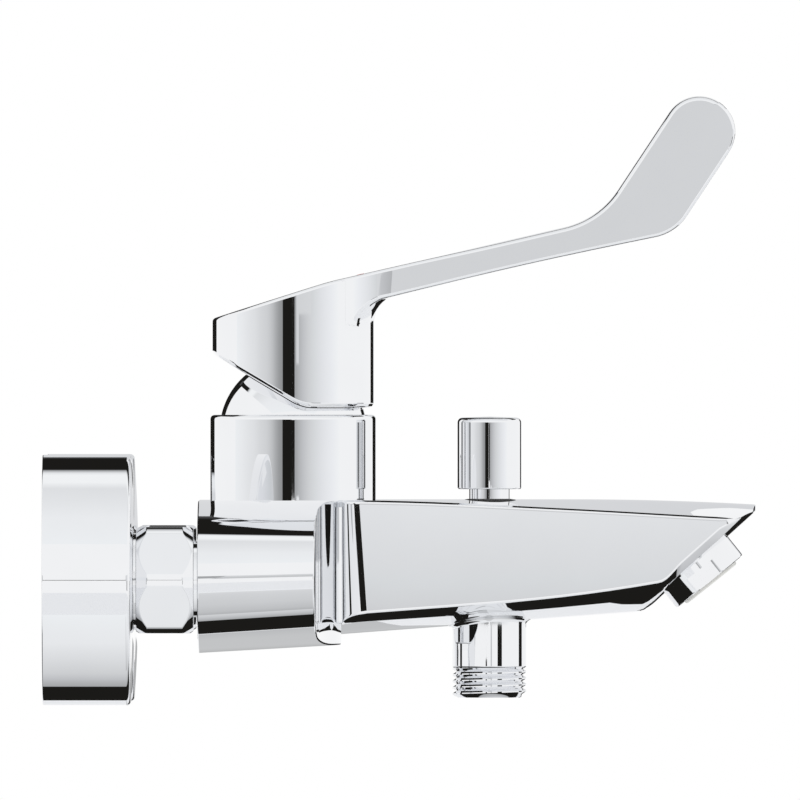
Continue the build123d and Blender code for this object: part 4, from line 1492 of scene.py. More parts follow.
@dataclass
class Lever:
    """The handle: a hub cut away at the rear, a tapering arm and an upturned paddle."""

    axis_from_wall: float = TURRET_FROM_WALL
    pivot: float = 42.0
    radius: float = 22.9
    skirt: float = 48.7
    rear_top: float = 73.9
    rear_low: float = 63.8
    cut_angle: float = 30.6
    cut_blend: float = 6.0
    cavity: float = 21.3
    ridge: Pair = LEVER_RIDGE
    ridge_blend: float = 2.34
    top_angle: float = LEVER_TOP_ANGLE
    under_angle: float = 12.72
    thickness: float = 8.0
    under_bow: float = 0.5
    paddle_angle: float = 56.5
    paddle_width: float = 20.4
    paddle_end: Pair = (185.8, 126.9)
    root_half: float = 12.4
    end_half: float = 7.0
    end_from_wall: float = 206.2
    flare: float = 20.0
    fillet: float = 8.0
    inner_elbow: float = 14.0
    outer_elbow: float = 25.0
    rim: float = 0.8
    skirt_edge: tuple[Pair, ...] = (
        (0.0, 1.3),
        (0.0, 1.05),
        (0.04, 0.95),
        (0.36, 0.4),
        (0.46, 0.32),
        (1.3, 0.03),
        (1.45, 0.0),
    )
    crown: float = 0.35
    overlap: float = 0.02
    rows: tuple[Pair, ...] = (
        (-1.0, math.pi),
        *side_rows((0.25, 0.5, 0.75, 1.0), 4),
        (1.0, math.pi),
    )
    wall_margin: float = 0.15
    inner_steps: tuple[float, ...] = (76.0, 82.0, 84.4, 85.35)
    root_rounding: float = 1.4
    fillet_steps: tuple[float, ...] = (0.0, 0.01, 0.06, 0.25, 0.6, 1.1, 1.8, 2.7, 3.8, 5.0)
    top_shares: tuple[float, ...] = (0.001, 0.3, 0.6, 0.85)
    cavity_shares: tuple[float, ...] = (1.0, 0.9, 0.75, 0.55, 0.3, 0.001)
    rim_support: float = 0.25
    flare_inset: float = 0.25
    overlap_run: float = 4.0
    root_search: float = 6.0
    root_fade: Pair = (88.0, 14.0)
    crown_fade: Pair = (100.0, 30.0)
    rim_parts: int = 4
    arm_parts: int = 8
    elbow_parts: int = 14
    paddle_parts: int = 4
    end_parts: int = 12

    def hub_top(self, x: float) -> float:
        """Height of the hub's sloping top, which turns gently at the ridge."""
        ridge_x, ridge_z = self.ridge
        rear_slope = (ridge_z - self.rear_top) / (ridge_x - self.axis_from_wall + self.radius)
        front_slope = math.tan(math.radians(self.top_angle))
        low = ridge_z + rear_slope * (x - ridge_x)
        high = ridge_z + front_slope * (x - ridge_x)
        near = max(0.0, self.ridge_blend - abs(x - ridge_x)) / self.ridge_blend
        sag = (rear_slope - front_slope) * self.ridge_blend / 4
        return min(low, high) - sag * near * near

    def hub_bottom(self, x: float) -> float:
        """Height of the hub's lower edge: a rising cut at the rear, level at the front."""
        slope = math.tan(math.radians(self.cut_angle))
        cut = self.rear_low - slope * (x - self.axis_from_wall + self.radius)
        reach = 2 * self.cut_blend * math.tan(math.radians(self.cut_angle / 2)) * slope
        near = max(0.0, reach - abs(cut - self.skirt)) / reach
        return max(cut, self.skirt) + near * near * reach / 4

    def hub_rings(self) -> list[Ring]:
        """Rings of the hub, from the top's middle over the rim and wall into the cavity."""

        def spot(radius: float, angle: float, height: float) -> Vector:
            """A point at a radius and angle about the hub's axis."""
            x = self.axis_from_wall + radius * math.cos(angle)
            return Vector((x, radius * math.sin(angle), height))

        def top_ring(radius: float, drop: float) -> Ring:
            """A ring on the sloping top."""
            return lambda angle: spot(
                radius, angle, self.hub_top(self.axis_from_wall + radius * math.cos(angle)) - drop
            )

        def low_ring(radius: float, lift: float) -> Ring:
            """A ring on the lower edge."""
            return lambda angle: spot(
                radius, angle, self.hub_bottom(self.axis_from_wall + radius * math.cos(angle)) + lift
            )

        def mouth(angle: float) -> float:
            """Radius at which the lower edge meets the round cavity."""
            return solve(
                lambda reach: self.hub_bottom(self.axis_from_wall + reach * math.cos(angle))
                - self.pivot
                - math.sqrt(self.cavity**2 - reach * reach),
                0.0,
                self.cavity,
            )

        def cavity_ring(share: float) -> Ring:
            """A ring inside the round cavity."""

            def place(angle: float) -> Vector:
                """A point on that ring."""
                reach = mouth(angle) * share
                return spot(reach, angle, self.pivot + math.sqrt(self.cavity**2 - reach * reach))

            return place

        rings = [top_ring(self.radius * share, 0.0) for share in self.top_shares]
        for step in range(self.rim_parts + 1):
            turn = math.pi / 2 * step / self.rim_parts
            rings.append(
                top_ring(self.radius - self.rim * (1 - math.sin(turn)), self.rim * (1 - math.cos(turn)))
            )
        rings.append(top_ring(self.radius, self.rim + self.rim_support))
        rings += [low_ring(self.radius - inset, lift) for inset, lift in self.skirt_edge]
        rings += [cavity_ring(share) for share in self.cavity_shares]
        return rings

    def flare_centre(self) -> Pair:
        """Centre of the arc that flares the arm into the hub, on the +Y side."""
        half = self.root_half - self.flare_inset
        reach = math.sqrt((self.radius + self.flare) ** 2 - (half + self.flare) ** 2)
        return self.axis_from_wall + reach, half + self.flare

    def flare_start(self) -> float:
        """Distance from the wall at which the flare leaves the hub."""
        share = self.radius / (self.radius + self.flare)
        return self.axis_from_wall + (self.flare_centre()[0] - self.axis_from_wall) * share

    def half_width(self, x: float) -> float:
        """Half width of the lever in plan: hub, flare and tapering arm."""
        centre_x, centre_y = self.flare_centre()
        touch = self.flare_start()
        if x <= touch:
            sunk = self.overlap * min(1.0, (touch - x) / self.overlap_run)
            return math.sqrt(max(0.0, (self.radius - sunk) ** 2 - (x - self.axis_from_wall) ** 2))
        if x < centre_x:
            return centre_y - math.sqrt(self.flare**2 - (x - centre_x) ** 2)
        front = self.axis_from_wall + self.radius
        along = (x - front) / (self.end_from_wall - front)
        return self.root_half + along * (self.end_half - self.root_half)

    def under_line(self, x: float) -> float:
        """Height of the arm's underside."""
        upright = math.radians(90 - self.under_angle)
        start_x = self.ridge[0] + self.thickness * math.cos(upright)
        start_z = self.ridge[1] - self.thickness * math.sin(upright)
        return start_z + math.tan(math.radians(self.under_angle)) * (x - start_x)

    def under_height(self, x: float, y: float) -> float:
        """Height of the underside with the fillet that runs down the hub's wall."""
        out = math.hypot(x - self.axis_from_wall, y) - self.radius
        slope = math.radians(self.under_angle)
        end = self.fillet * (1 - math.sin(slope))
        if out >= end:
            return self.under_line(x)
        out = max(0.0, out)
        low = self.fillet / math.cos(slope) - self.fillet * math.tan(slope)
        arc = math.sqrt(self.fillet**2 - (self.fillet - out) ** 2)
        return self.under_line(x) - out * math.tan(slope) - low + arc

    def outline(self) -> list[tuple[Vector, Vector, Vector, Vector]]:
        """Side outline beyond the flare.

        Returns:
            For each station the top point, the low point, and the outward directions there.
        """
        along = heading(self.paddle_angle)
        left = Vector((-along.y, along.x))
        half = self.paddle_width / 2
        middle = Vector(self.paddle_end)
        start_x = self.flare_centre()[0]
        top_start = Vector((start_x, self.hub_top(start_x)))
        low_start = Vector((start_x, self.under_line(start_x)))

        def meet(point: Vector, direction: Vector, other: Vector) -> Vector:
            """Where a line meets the paddle's side through other."""
            gap = other - point
            reach = (gap.x * along.y - gap.y * along.x) / (direction.x * along.y - direction.y * along.x)
            return point + direction * reach

        top_corner = meet(top_start, heading(self.top_angle), middle + left * half)
        low_corner = meet(low_start, heading(self.under_angle), middle - left * half)

        def chain(start: Vector, corner: Vector, end: Vector, radius: float) -> list[Vector]:
            """Start, straight, elbow and paddle as one run of points."""
            elbow = round_corner(start, corner, end, radius, self.elbow_parts)
            arm = [start.lerp(elbow[0], step / self.arm_parts) for step in range(self.arm_parts)]
            shares = [step / self.paddle_parts for step in range(1, self.paddle_parts + 1)]
            return [*arm, *elbow, *(elbow[-1].lerp(end, share) for share in shares)]

        tops = chain(top_start, top_corner, middle + left * half, self.outer_elbow)
        lows = chain(low_start, low_corner, middle - left * half, self.inner_elbow)
        for step in range(self.arm_parts):
            lows[step].y += self.under_bow * math.sin(math.pi * step / self.arm_parts)
        stations = []
        for number, (high, low) in enumerate(zip(tops, lows)):
            stations.append((high, low, self.outward(tops, number, 1), self.outward(lows, number, -1)))
        for step in range(1, self.end_parts + 1):
            turn = math.pi / 2 * step / self.end_parts
            high_way = left * math.cos(turn) + along * math.sin(turn)
            low_way = -left * math.cos(turn) + along * math.sin(turn)
            stations.append((middle + high_way * half, middle + low_way * half, high_way, low_way))
        return stations

    @staticmethod
    def outward(points: Sequence[Vector], number: int, side: int) -> Vector:
        """Direction that leaves an outline at one of its points.

        Args:
            points: The outline's points.
            number: Which point.
            side: 1 for the top outline, -1 for the low one.

        Returns:
            A unit direction in the side view.
        """
        before = points[max(0, number - 1)]
        after = points[min(len(points) - 1, number + 1)]
        run = (after - before).normalized()
        return Vector((-run.y, run.x)) * side

    def arm_form(self) -> Form:
        """The arm and paddle, with the flare and the fillet at the root."""
        stations = self.outline()
        inner = len(self.inner_steps)
        roots = len(self.fillet_steps)

        def rounding(x: float, on_top: bool) -> float:
            """Radius of the long edges, which grows under the root."""
            spare = 0.0 if on_top else self.root_rounding - self.rim
            start, length = self.root_fade
            return self.rim + spare * (1 - smooth_share((x - start) / length))

        def row_y(row: int, x: float, on_top: bool) -> float:
            """Sideways place of a row at a distance from the wall."""
            share, turn = self.rows[row]
            half = self.half_width(x)
            radius = rounding(x, on_top)
            return abs(share) * (half - radius) + radius * math.sin(min(turn, math.pi / 2))

        def row_drop(row: int, x: float, on_top: bool) -> float:
            """How far a row stands back from the arm's top or underside."""
            turn = self.rows[row][1]
            margin = self.wall_margin if turn > math.pi / 2 else 0.0
            return rounding(x, on_top) * (1 - math.cos(min(turn, math.pi / 2))) + margin

        def root_x(row: int, out: float, on_top: bool) -> float:
            """Where a row stands a given distance outside the hub's wall."""
            return solve(
                lambda x: math.hypot(x - self.axis_from_wall, row_y(row, x, on_top)) - self.radius - out,
                self.flare_start(),
                self.flare_centre()[0] + self.root_search,
            )

        def place(lengthwise: int, sideways: int, on_top: bool) -> Vector:
            """A point of the arm."""
            sign = -1 if self.rows[sideways][0] < 0 else 1
            if lengthwise < inner + roots:
                if lengthwise < inner:
                    x = self.inner_steps[lengthwise]
                else:
                    x = root_x(sideways, self.fillet_steps[lengthwise - inner], on_top)
                y = row_y(sideways, x, on_top)
                drop = row_drop(sideways, x, on_top)
                if on_top:
                    height = self.hub_top(x) + self.overlap - drop
                else:
                    height = self.under_height(x, y) + drop
                return Vector((x, sign * y, height))
            high, low, high_way, low_way = stations[lengthwise - inner - roots]
            spot = high if on_top else low
            way = high_way if on_top else low_way
            y = row_y(sideways, spot.x, on_top)
            drop = row_drop(sideways, spot.x, on_top)
            crowned = self.crown * (y / self.half_width(spot.x)) ** 2 if on_top else 0.0
            start, length = self.crown_fade
            inset = drop + crowned * smooth_share((spot.x - start) / length)
            edge = spot - way * inset
            return Vector((edge.x, sign * y, edge.y))

        return slab(inner + roots + len(stations) - 1, len(self.rows) - 1, place)

    def build(self, bench: Workbench) -> None:
        """Build and fit the hub and the arm.

        Args:
            bench: The workbench that makes the pieces.
        """
        hub = ringed(self.hub_rings(), parts=FINE_ROUND_PARTS)
        bench.publish(hub, "lever_hub", ["lever"], body=Body.HANDLE)
        bench.publish(self.arm_form(), "lever_arm", body=Body.HANDLE)


@dataclass
class Indicator:
    """The small two-colour inlay on the lever's root, red on the hot side and blue on the cold."""

    from_axis: float = 19.15
    axis_from_wall: float = TURRET_FROM_WALL
    ridge: Pair = LEVER_RIDGE
    slope: float = LEVER_TOP_ANGLE
    length: float = 7.0
    width: float = 2.0
    depth: float = 1.2
    proud: float = 0.15
    edge: float = 0.08
    end_parts: int = 12

    def half_pill(self, hand: Hand) -> Form:
        """One half of the pill, crowned by its proud top.

        Args:
            hand: The side it marks.

        Returns:
            The form.
        """
        radius = self.width / 2
        end = self.length / 2 - radius
        form = bmesh.new()
        turns = [math.pi * step / self.end_parts for step in range(self.end_parts + 1)]
        rounding = [Vector((-radius * math.cos(turn), end + radius * math.sin(turn))) for turn in turns]
        rim = [Vector((-radius, 0.0)), *rounding, Vector((radius, 0.0))]
        slope = math.radians(self.slope)
        x = self.axis_from_wall + self.from_axis
        z = self.ridge[1] + (x - self.ridge[0]) * math.tan(slope)
        middle = Vector((x, 0, z))
        run = Vector((math.cos(slope), 0, math.sin(slope)))
        up = Vector((-math.sin(slope), 0, math.cos(slope)))
        side = Vector((0, hand.value, 0))
        corners = [form.verts.new(middle + run * p.x + side * p.y - up * self.depth) for p in rim]
        base = form.faces.new(corners)
        grown = bmesh.ops.extrude_face_region(form, geom=[base])["geom"]
        top = [part for part in grown if isinstance(part, bmesh.types.BMVert)]
        bmesh.ops.translate(form, verts=top, vec=up * (self.depth + self.proud))
        lids = {face for vertex in top for face in vertex.link_faces if all(v in top for v in face.verts)}
        edges = list({edge for face in lids for edge in face.edges})
        round_edges(form, edges, self.edge, 2, clamped=False)
        settle(form)
        return form

    def build(self, bench: Workbench) -> None:
        """Build and fit both halves.

        Args:
            bench: The workbench that makes the pieces.
        """
        for hand, slot in ((Hand.HOT, Slot.RED), (Hand.COLD, Slot.BLUE)):
            form = self.half_pill(hand)
            nodes = [f"indicator_{hand.word}"]
            bench.publish(form, f"inlay_{hand.word}", nodes, Body.HANDLE, slot, levelled=False)


@dataclass
class Diverter:
    """The pull-up knob and the guide that stands in the spout's top."""

    from_wall: float = DIVERTER_FROM_WALL
    knob_radius: float = 9.05
    knob_bottom: float = 25.5
    knob_top: float = 46.1
    knob_edge: float = 1.4
    knob_dome: float = 0.35
    knob_bore: float = 6.02
    cavity_top: float = 38.1
    neck_radius: float = 5.725
    guide_top: float = 37.5
    wiper_radius: float = 8.9
    wiper_top: float = 22.75
    wiper_low: float = 21.4
    wiper_fall: float = 0.42
    wiper_edge: float = 0.1
    wiper_grip: float = 0.02
    knob_bore_edge: float = 0.3
    knob_foot_edge: float = 0.35
    guide_edge: float = 0.5
    rod_hole: float = 2.1

    def build(self, bench: Workbench) -> None:
        """Spin and fit the knob and the guide.

        Args:
            bench: The workbench that makes the pieces.
        """
        centre = Vector((self.from_wall, 0, 0))
        knob = rounded_run(
            Corner(self.cavity_top, 0.0),
            Corner(self.cavity_top, self.knob_bore),
            Corner(self.knob_bottom, self.knob_bore, self.knob_bore_edge),
            Corner(self.knob_bottom, self.knob_radius, self.knob_foot_edge),
            Corner(self.knob_top - self.knob_dome, self.knob_radius, self.knob_edge),
            Corner(self.knob_top, 0.0),
        )
        bench.publish(spun(knob, centre, Z_AXIS), "knob", ["diverter_knob"], body=Body.DIVERTER)
        guide = rounded_run(
            Corner(self.wiper_low, self.neck_radius),
            Corner(self.guide_top, self.neck_radius, self.guide_edge),
            Corner(self.guide_top, self.rod_hole),
        )
        bench.publish(spun(guide, centre, Z_AXIS), "guide", ["diverter_guide"])
        wiper = rounded_run(
            Corner(self.wiper_low, self.wiper_radius),
            Corner(self.wiper_top - self.wiper_fall, self.wiper_radius, self.wiper_edge),
            Corner(self.wiper_top, self.neck_radius + self.wiper_grip),
        )
        bench.publish(spun(wiper, centre, Z_AXIS), "guide_wiper", slot=Slot.RUBBER)


@dataclass
class ShowerOutlet:
    """The boss under the spout and the threaded nipple for the shower hose."""

    from_wall: float = DIVERTER_FROM_WALL
    boss_fillet: float = 1.2
    boss_sunk: float = 1.0
    barrel_top: float = -8.0
    thread_radius: float = THREAD_RADIUS
    thread_depth: float = THREAD_DEPTH
    thread_pitch: float = THREAD_PITCH
    thread_start: float = -25.2
    bottom: float = -33.7
    end_chamfer: float = 0.9
    end_inset: float = 0.6
    bore: float = 7.6
    bore_edge: float = 0.2
    boss_clear: float = 0.02
    barrel_edge: float = 0.3
    thread_runout: float = 0.5
    thread_parts: int = 72

    def fillet(self) -> Form:
        """The casting's fillet round the outlet, which follows the crowned underside."""
        spout = Spout()

        def ring(step: int, sunk: float) -> Ring:
            """A ring of the fillet at one step of its quarter turn."""
            turn = math.pi / 2 * step / ARC_PARTS
            radius = self.thread_radius + self.boss_clear + self.boss_fillet * (1 - math.sin(turn))
            lift = self.boss_fillet * (1 - math.cos(turn))

            def place(angle: float) -> Vector:
                """A point on that ring."""
                x = self.from_wall + radius * math.cos(angle)
                y = radius * math.sin(angle)
                return Vector((x, y, spout.low_height(x, y) - lift + sunk))

            return place

        rings = [ring(0, self.boss_sunk), *(ring(step, 0.0) for step in range(ARC_PARTS + 1))]
        return ringed(rings)

    def build(self, bench: Workbench) -> None:
        """Build the fillet and barrel, wind the thread, and fit them.

        Args:
            bench: The workbench that makes the pieces.
        """
        centre = Vector((self.from_wall, 0, 0))
        down = Vector((0, 0, -1))
        bench.publish(self.fillet(), "casting_boss")
        core = self.thread_radius - self.thread_depth
        barrel = rounded_run(
            Corner(-self.barrel_top, self.thread_radius),
            Corner(-self.thread_start - self.barrel_edge, self.thread_radius, self.barrel_edge),
            Corner(-self.thread_start + self.thread_runout, core),
            Corner(-self.bottom - self.end_chamfer, core),
            Corner(-self.bottom, core - self.end_inset),
            Corner(-self.bottom, self.bore, self.bore_edge),
            Corner(-self.barrel_top, self.bore),
        )
        bench.publish(spun(barrel, centre, down), "outlet", ["shower_nipple"])
        thread = PipeThread(self.thread_radius, self.thread_depth, self.thread_pitch, self.thread_parts)
        wound = thread.wind(-self.thread_start, -self.bottom, centre, down)
        rise = self.end_inset + self.thread_depth
        for vertex in wound.verts:
            depth = -self.bottom + vertex.co.z
            limit = core - self.end_inset + (depth / self.end_chamfer) * rise
            arm = vertex.co - centre
            reach = math.hypot(arm.x, arm.y)
            if reach > limit:
                vertex.co.x = centre.x + arm.x * limit / reach
                vertex.co.y = arm.y * limit / reach
        bmesh.ops.recalc_face_normals(wound, faces=wound.faces)
        bench.publish(wound, "outlet_thread", levelled=False)


@dataclass
class Nozzle:
    """The inclined aerator: a ring with spanner flats and its jet insert."""

    tilt: float = 51.4
    from_tip: float = 22.5
    face_angle: float = NOZZLE_FACE_ANGLE
    reach: float = SPOUT_REACH
    lip_height: float = 19.0
    visible: float = 6.0
    radius: float = 12.0
    bore: float = 9.2
    flat: float = 11.0
    flat_length: float = 4.6
    edge: float = 0.5
    insert_radius: float = 9.15
    insert_proud: float = 0.9
    hidden: float = 8.0
    sunk: float = 3.0
    bore_edge: float = 0.3
    edge_bulge: float = 0.3
    flat_step: float = 0.01
    insert_edge: float = 0.3
    insert_bevel: float = 0.4
    insert_rim: float = 1.4
    dish_inset: float = 1.8
    dish_depth: float = 0.8
    dish_edge: float = 0.2
    dish_hub: float = 1.2
    parts: int = 120

    def axis(self) -> tuple[Vector, Vector]:
        """Middle of the nozzle's open end and the direction the water leaves."""
        slope = math.radians(self.face_angle)
        tilt = math.radians(self.tilt)
        way = Vector((math.cos(tilt), 0, -math.sin(tilt)))
        face_x = self.reach - self.from_tip * math.cos(slope)
        face_z = self.lip_height - self.from_tip * math.sin(slope)
        return Vector((face_x, 0, face_z)) + way * self.visible, way

    def ring_form(self) -> Form:
        """The ring, with a flat milled on each side."""
        end, way = self.axis()
        upright = Vector((way.z, 0, -way.x))

        def ring(depth: float, radius: float, milled: bool) -> Ring:
            """A ring across the nozzle, cut flat where it is milled."""

            def place(angle: float) -> Vector:
                """A point on that ring."""
                y = radius * math.cos(angle)
                if milled:
                    y = max(-self.flat, min(self.flat, y))
                return end - way * depth + Y_AXIS * y + upright * (radius * math.sin(angle))

            return place

        bulge = self.edge * self.edge_bulge
        rings = [
            ring(self.hidden, self.bore, False),
            ring(self.bore_edge, self.bore, False),
            ring(0.0, self.bore + self.bore_edge, False),
            ring(0.0, self.radius - self.edge, True),
            ring(bulge, self.radius - bulge, True),
            ring(self.edge, self.radius, True),
            ring(self.flat_length - self.flat_step, self.radius, True),
            ring(self.flat_length, self.radius, False),
            ring(self.visible + self.sunk, self.radius, False),
        ]
        return ringed(rings, parts=self.parts)

    def build(self, bench: Workbench) -> None:
        """Build and fit the ring and its insert.

        Args:
            bench: The workbench that makes the pieces.
        """
        end, way = self.axis()
        bench.publish(self.ring_form(), "nozzle_ring", ["aerator_housing"])
        dish = self.insert_proud - self.dish_depth
        insert = [
            Corner(-self.hidden, self.insert_radius),
            Corner(self.insert_proud - self.insert_edge, self.insert_radius),
            Corner(self.insert_proud, self.insert_radius - self.insert_bevel),
            Corner(self.insert_proud, self.insert_radius - self.insert_rim, self.dish_edge),
            Corner(dish, self.insert_radius - self.dish_inset, self.dish_edge),
            Corner(dish, self.dish_hub),
            Corner(self.insert_proud - self.dish_depth / 2, 0.0),
        ]
        form = spun(rounded_run(*insert), end, way)
        bench.publish(form, "nozzle_insert", ["aerator_insert"], slot=Slot.ACETAL)


# Pieces of the frame that keep their own shape, inside the castings or in the wall
INNER_FINISHES: dict[Slot, tuple[str, ...]] = {
    Slot.BRASS: (
        "cartridge_clamp_nut",
        "cartridge_swivel",
        "spindle",
        "diverter_collar",
    ),
    Slot.STEEL: ("spindle_pin", "lever_grub_screw", "diverter_rod", "diverter_spring", "check_valve_spring"),
    Slot.RUBBER: (
        "union_gasket_hot",
        "union_gasket_cold",
        "cartridge_seals",
        "diverter_oring",
        "diverter_disc",
        "aerator_seal",
    ),
    Slot.ALUMINA: ("ceramic_disc_fixed", "ceramic_disc_moving"),
    Slot.ACETAL: (
        "cartridge_base",
        "cartridge_housing",
        "disc_carrier",
        "temperature_stop",
        "check_valve_cage",
        "check_valve_poppet",
    ),
}


class InnerWorks:
    """The cartridge, valves, springs and seals, which keep the frame's own shapes."""

    def build(self, bench: Workbench, nodes: dict[str, bpy.types.Object]) -> None:
        """Dress each node with its finish.

        Args:
            bench: The workbench that holds the palette.
            nodes: The frame's nodes by name.
        """
        for slot, names in INNER_FINISHES.items():
            for name in names:
                bench.palette.dress(nodes[name], slot)
                log.info("%s: dressed as %s", name, slot.value)


# Studio
# How far off the flags hang, in metres.
FAR = 40.0
NEAR = 4.0


def paint_reflection_card(name: str, along: Measure, tones: Sequence[tuple[float, str]]) -> bpy.types.Material:
    """Paint a studio card with emitted greys that run along one measure of it; only reflections see them, so
    they are painted reflections.

    Args:
        name: The card's name.
        along: Adds the nodes that give the measure, and returns their output.
        tones: Measures and greys in rising order.

    Returns:
        The material.
    """
    material = blank_material(f"{name}_paint")
    tree = material.node_tree
    first, last = tones[0][0], tones[-1][0]
    share = add_node(
        tree, "ShaderNodeMapRange", {"Value": along(tree), "From Min": first, "From Max": last}
    )
    ramp = add_node(tree, "ShaderNodeValToRGB", {"Fac": share.outputs["Result"]})
    stops = ramp.color_ramp.elements
    for index, (measure, shade) in enumerate(tones):
        position = (measure - first) / (last - first)
        stop = stops[index] if index < 2 else stops.new(position)
        stop.position = position
        stop.color = linear(shade)
    # The greys are emitted, and the chrome shows them as painted reflections.
    light = add_node(tree, "ShaderNodeEmission", {"Color": ramp.outputs["Color"]})
    add_node(tree, "ShaderNodeOutputMaterial", {"Surface": light.outputs["Emission"]})
    return material


def measure_along(axis: str) -> Measure:
    """Choose one axis of a card as the measure its greys run along.

    Args:
        axis: The axis' letter.

    Returns:
        The function that adds the nodes for it.
    """

    def measure(tree: Tree) -> Socket:
        """The place along that axis."""
        return add_node(tree, "ShaderNodeSeparateXYZ", {"Vector": object_place(tree)}).outputs[axis]

    return measure


def hang_card(name: str, form: Form, paint: bpy.types.Material) -> None:
    """Put a studio card in the scene, where only reflections see it.

    Args:
        name: The card's name.
        form: Its shape; it is freed.
        paint: Its material.
    """
    card = mesh_object(name, form)
    card.data.materials.append(paint)
    card.visible_camera = False
    card.visible_diffuse = False
    card.visible_shadow = False


@dataclass(frozen=True)
class Flag:
    """A curved upright studio card whose emitted greys only glossy rays see: painted reflections.

    Tones are pairs of azimuth in degrees and grey, from the camera's side and positive towards
    the spout. Where span is given it holds the azimuths, and the tones run up the card's
    height. Heights and the distance are in metres.
    """

    name: str
    tones: tuple[tuple[float, str], ...]
    low: float
    high: float
    distance: float = NEAR
    span: Pair | None = None

    def build(self, centre_x: float) -> None:
        """Spin the card and paint its greys.

        Args:
            centre_x: Distance from the wall of the axis it curves about, in metres.
        """
        first, last = self.span or (self.tones[0][0], self.tones[-1][0])
        parts = max(2, math.ceil(last - first))
        form = bmesh.new()
        x = centre_x + self.distance * math.sin(math.radians(first))
        y = -self.distance * math.cos(math.radians(first))
        chain = [form.verts.new((x, y, height)) for height in (self.low, self.high)]
        edge = form.edges.new(chain)
        bmesh.ops.spin(
            form,
            geom=[*chain, edge],
            cent=(centre_x, 0, 0),
            axis=(0, 0, 1),
            angle=math.radians(last - first),
            steps=parts,
        )

        def azimuth(tree: Tree) -> Socket:
            """The azimuth in degrees from a point half way round behind the card."""
            middle = (first + last) / 2
            turn = math.pi / 2 - math.radians(middle)
            turned = add_node(
                tree,
                "ShaderNodeVectorRotate",
                {"Vector": object_place(tree), "Center": (centre_x, 0, 0), "Angle": turn},
                rotation_type="Z_AXIS",
            )
            split = add_node(tree, "ShaderNodeSeparateXYZ", {"Vector": turned.outputs["Vector"]})
            ahead = reckon(tree, "SUBTRACT", split.outputs["X"], centre_x)
            angle = reckon(tree, "ARCTAN2", split.outputs["Y"], ahead)
            return reckon(tree, "ADD", reckon(tree, "DEGREES", angle), middle)

        along = measure_along("Z") if self.span else azimuth
        hang_card(self.name, form, paint_reflection_card(self.name, along, self.tones))


@dataclass(frozen=True)
class Table:
    """A flat studio card above or below the object, whose emitted greys, running away from the camera, are
    painted reflections.
    """

    name: str
    height: float
    tones: tuple[tuple[float, str], ...]
    half_width: float = 1.15
    centre_x: float = 0.1

    def build(self) -> None:
        """Lay the card out and paint it."""
        near, far = self.tones[0][0], self.tones[-1][0]
        form = bmesh.new()
        bmesh.ops.create_grid(form, x_segments=2, y_segments=2, size=1.0)
        bmesh.ops.scale(form, verts=form.verts, vec=(self.half_width, (far - near) / 2, 1))
        middle = (self.centre_x, (near + far) / 2, self.height)
        bmesh.ops.translate(form, verts=form.verts, vec=middle)
        hang_card(self.name, form, paint_reflection_card(self.name, measure_along("Y"), self.tones))


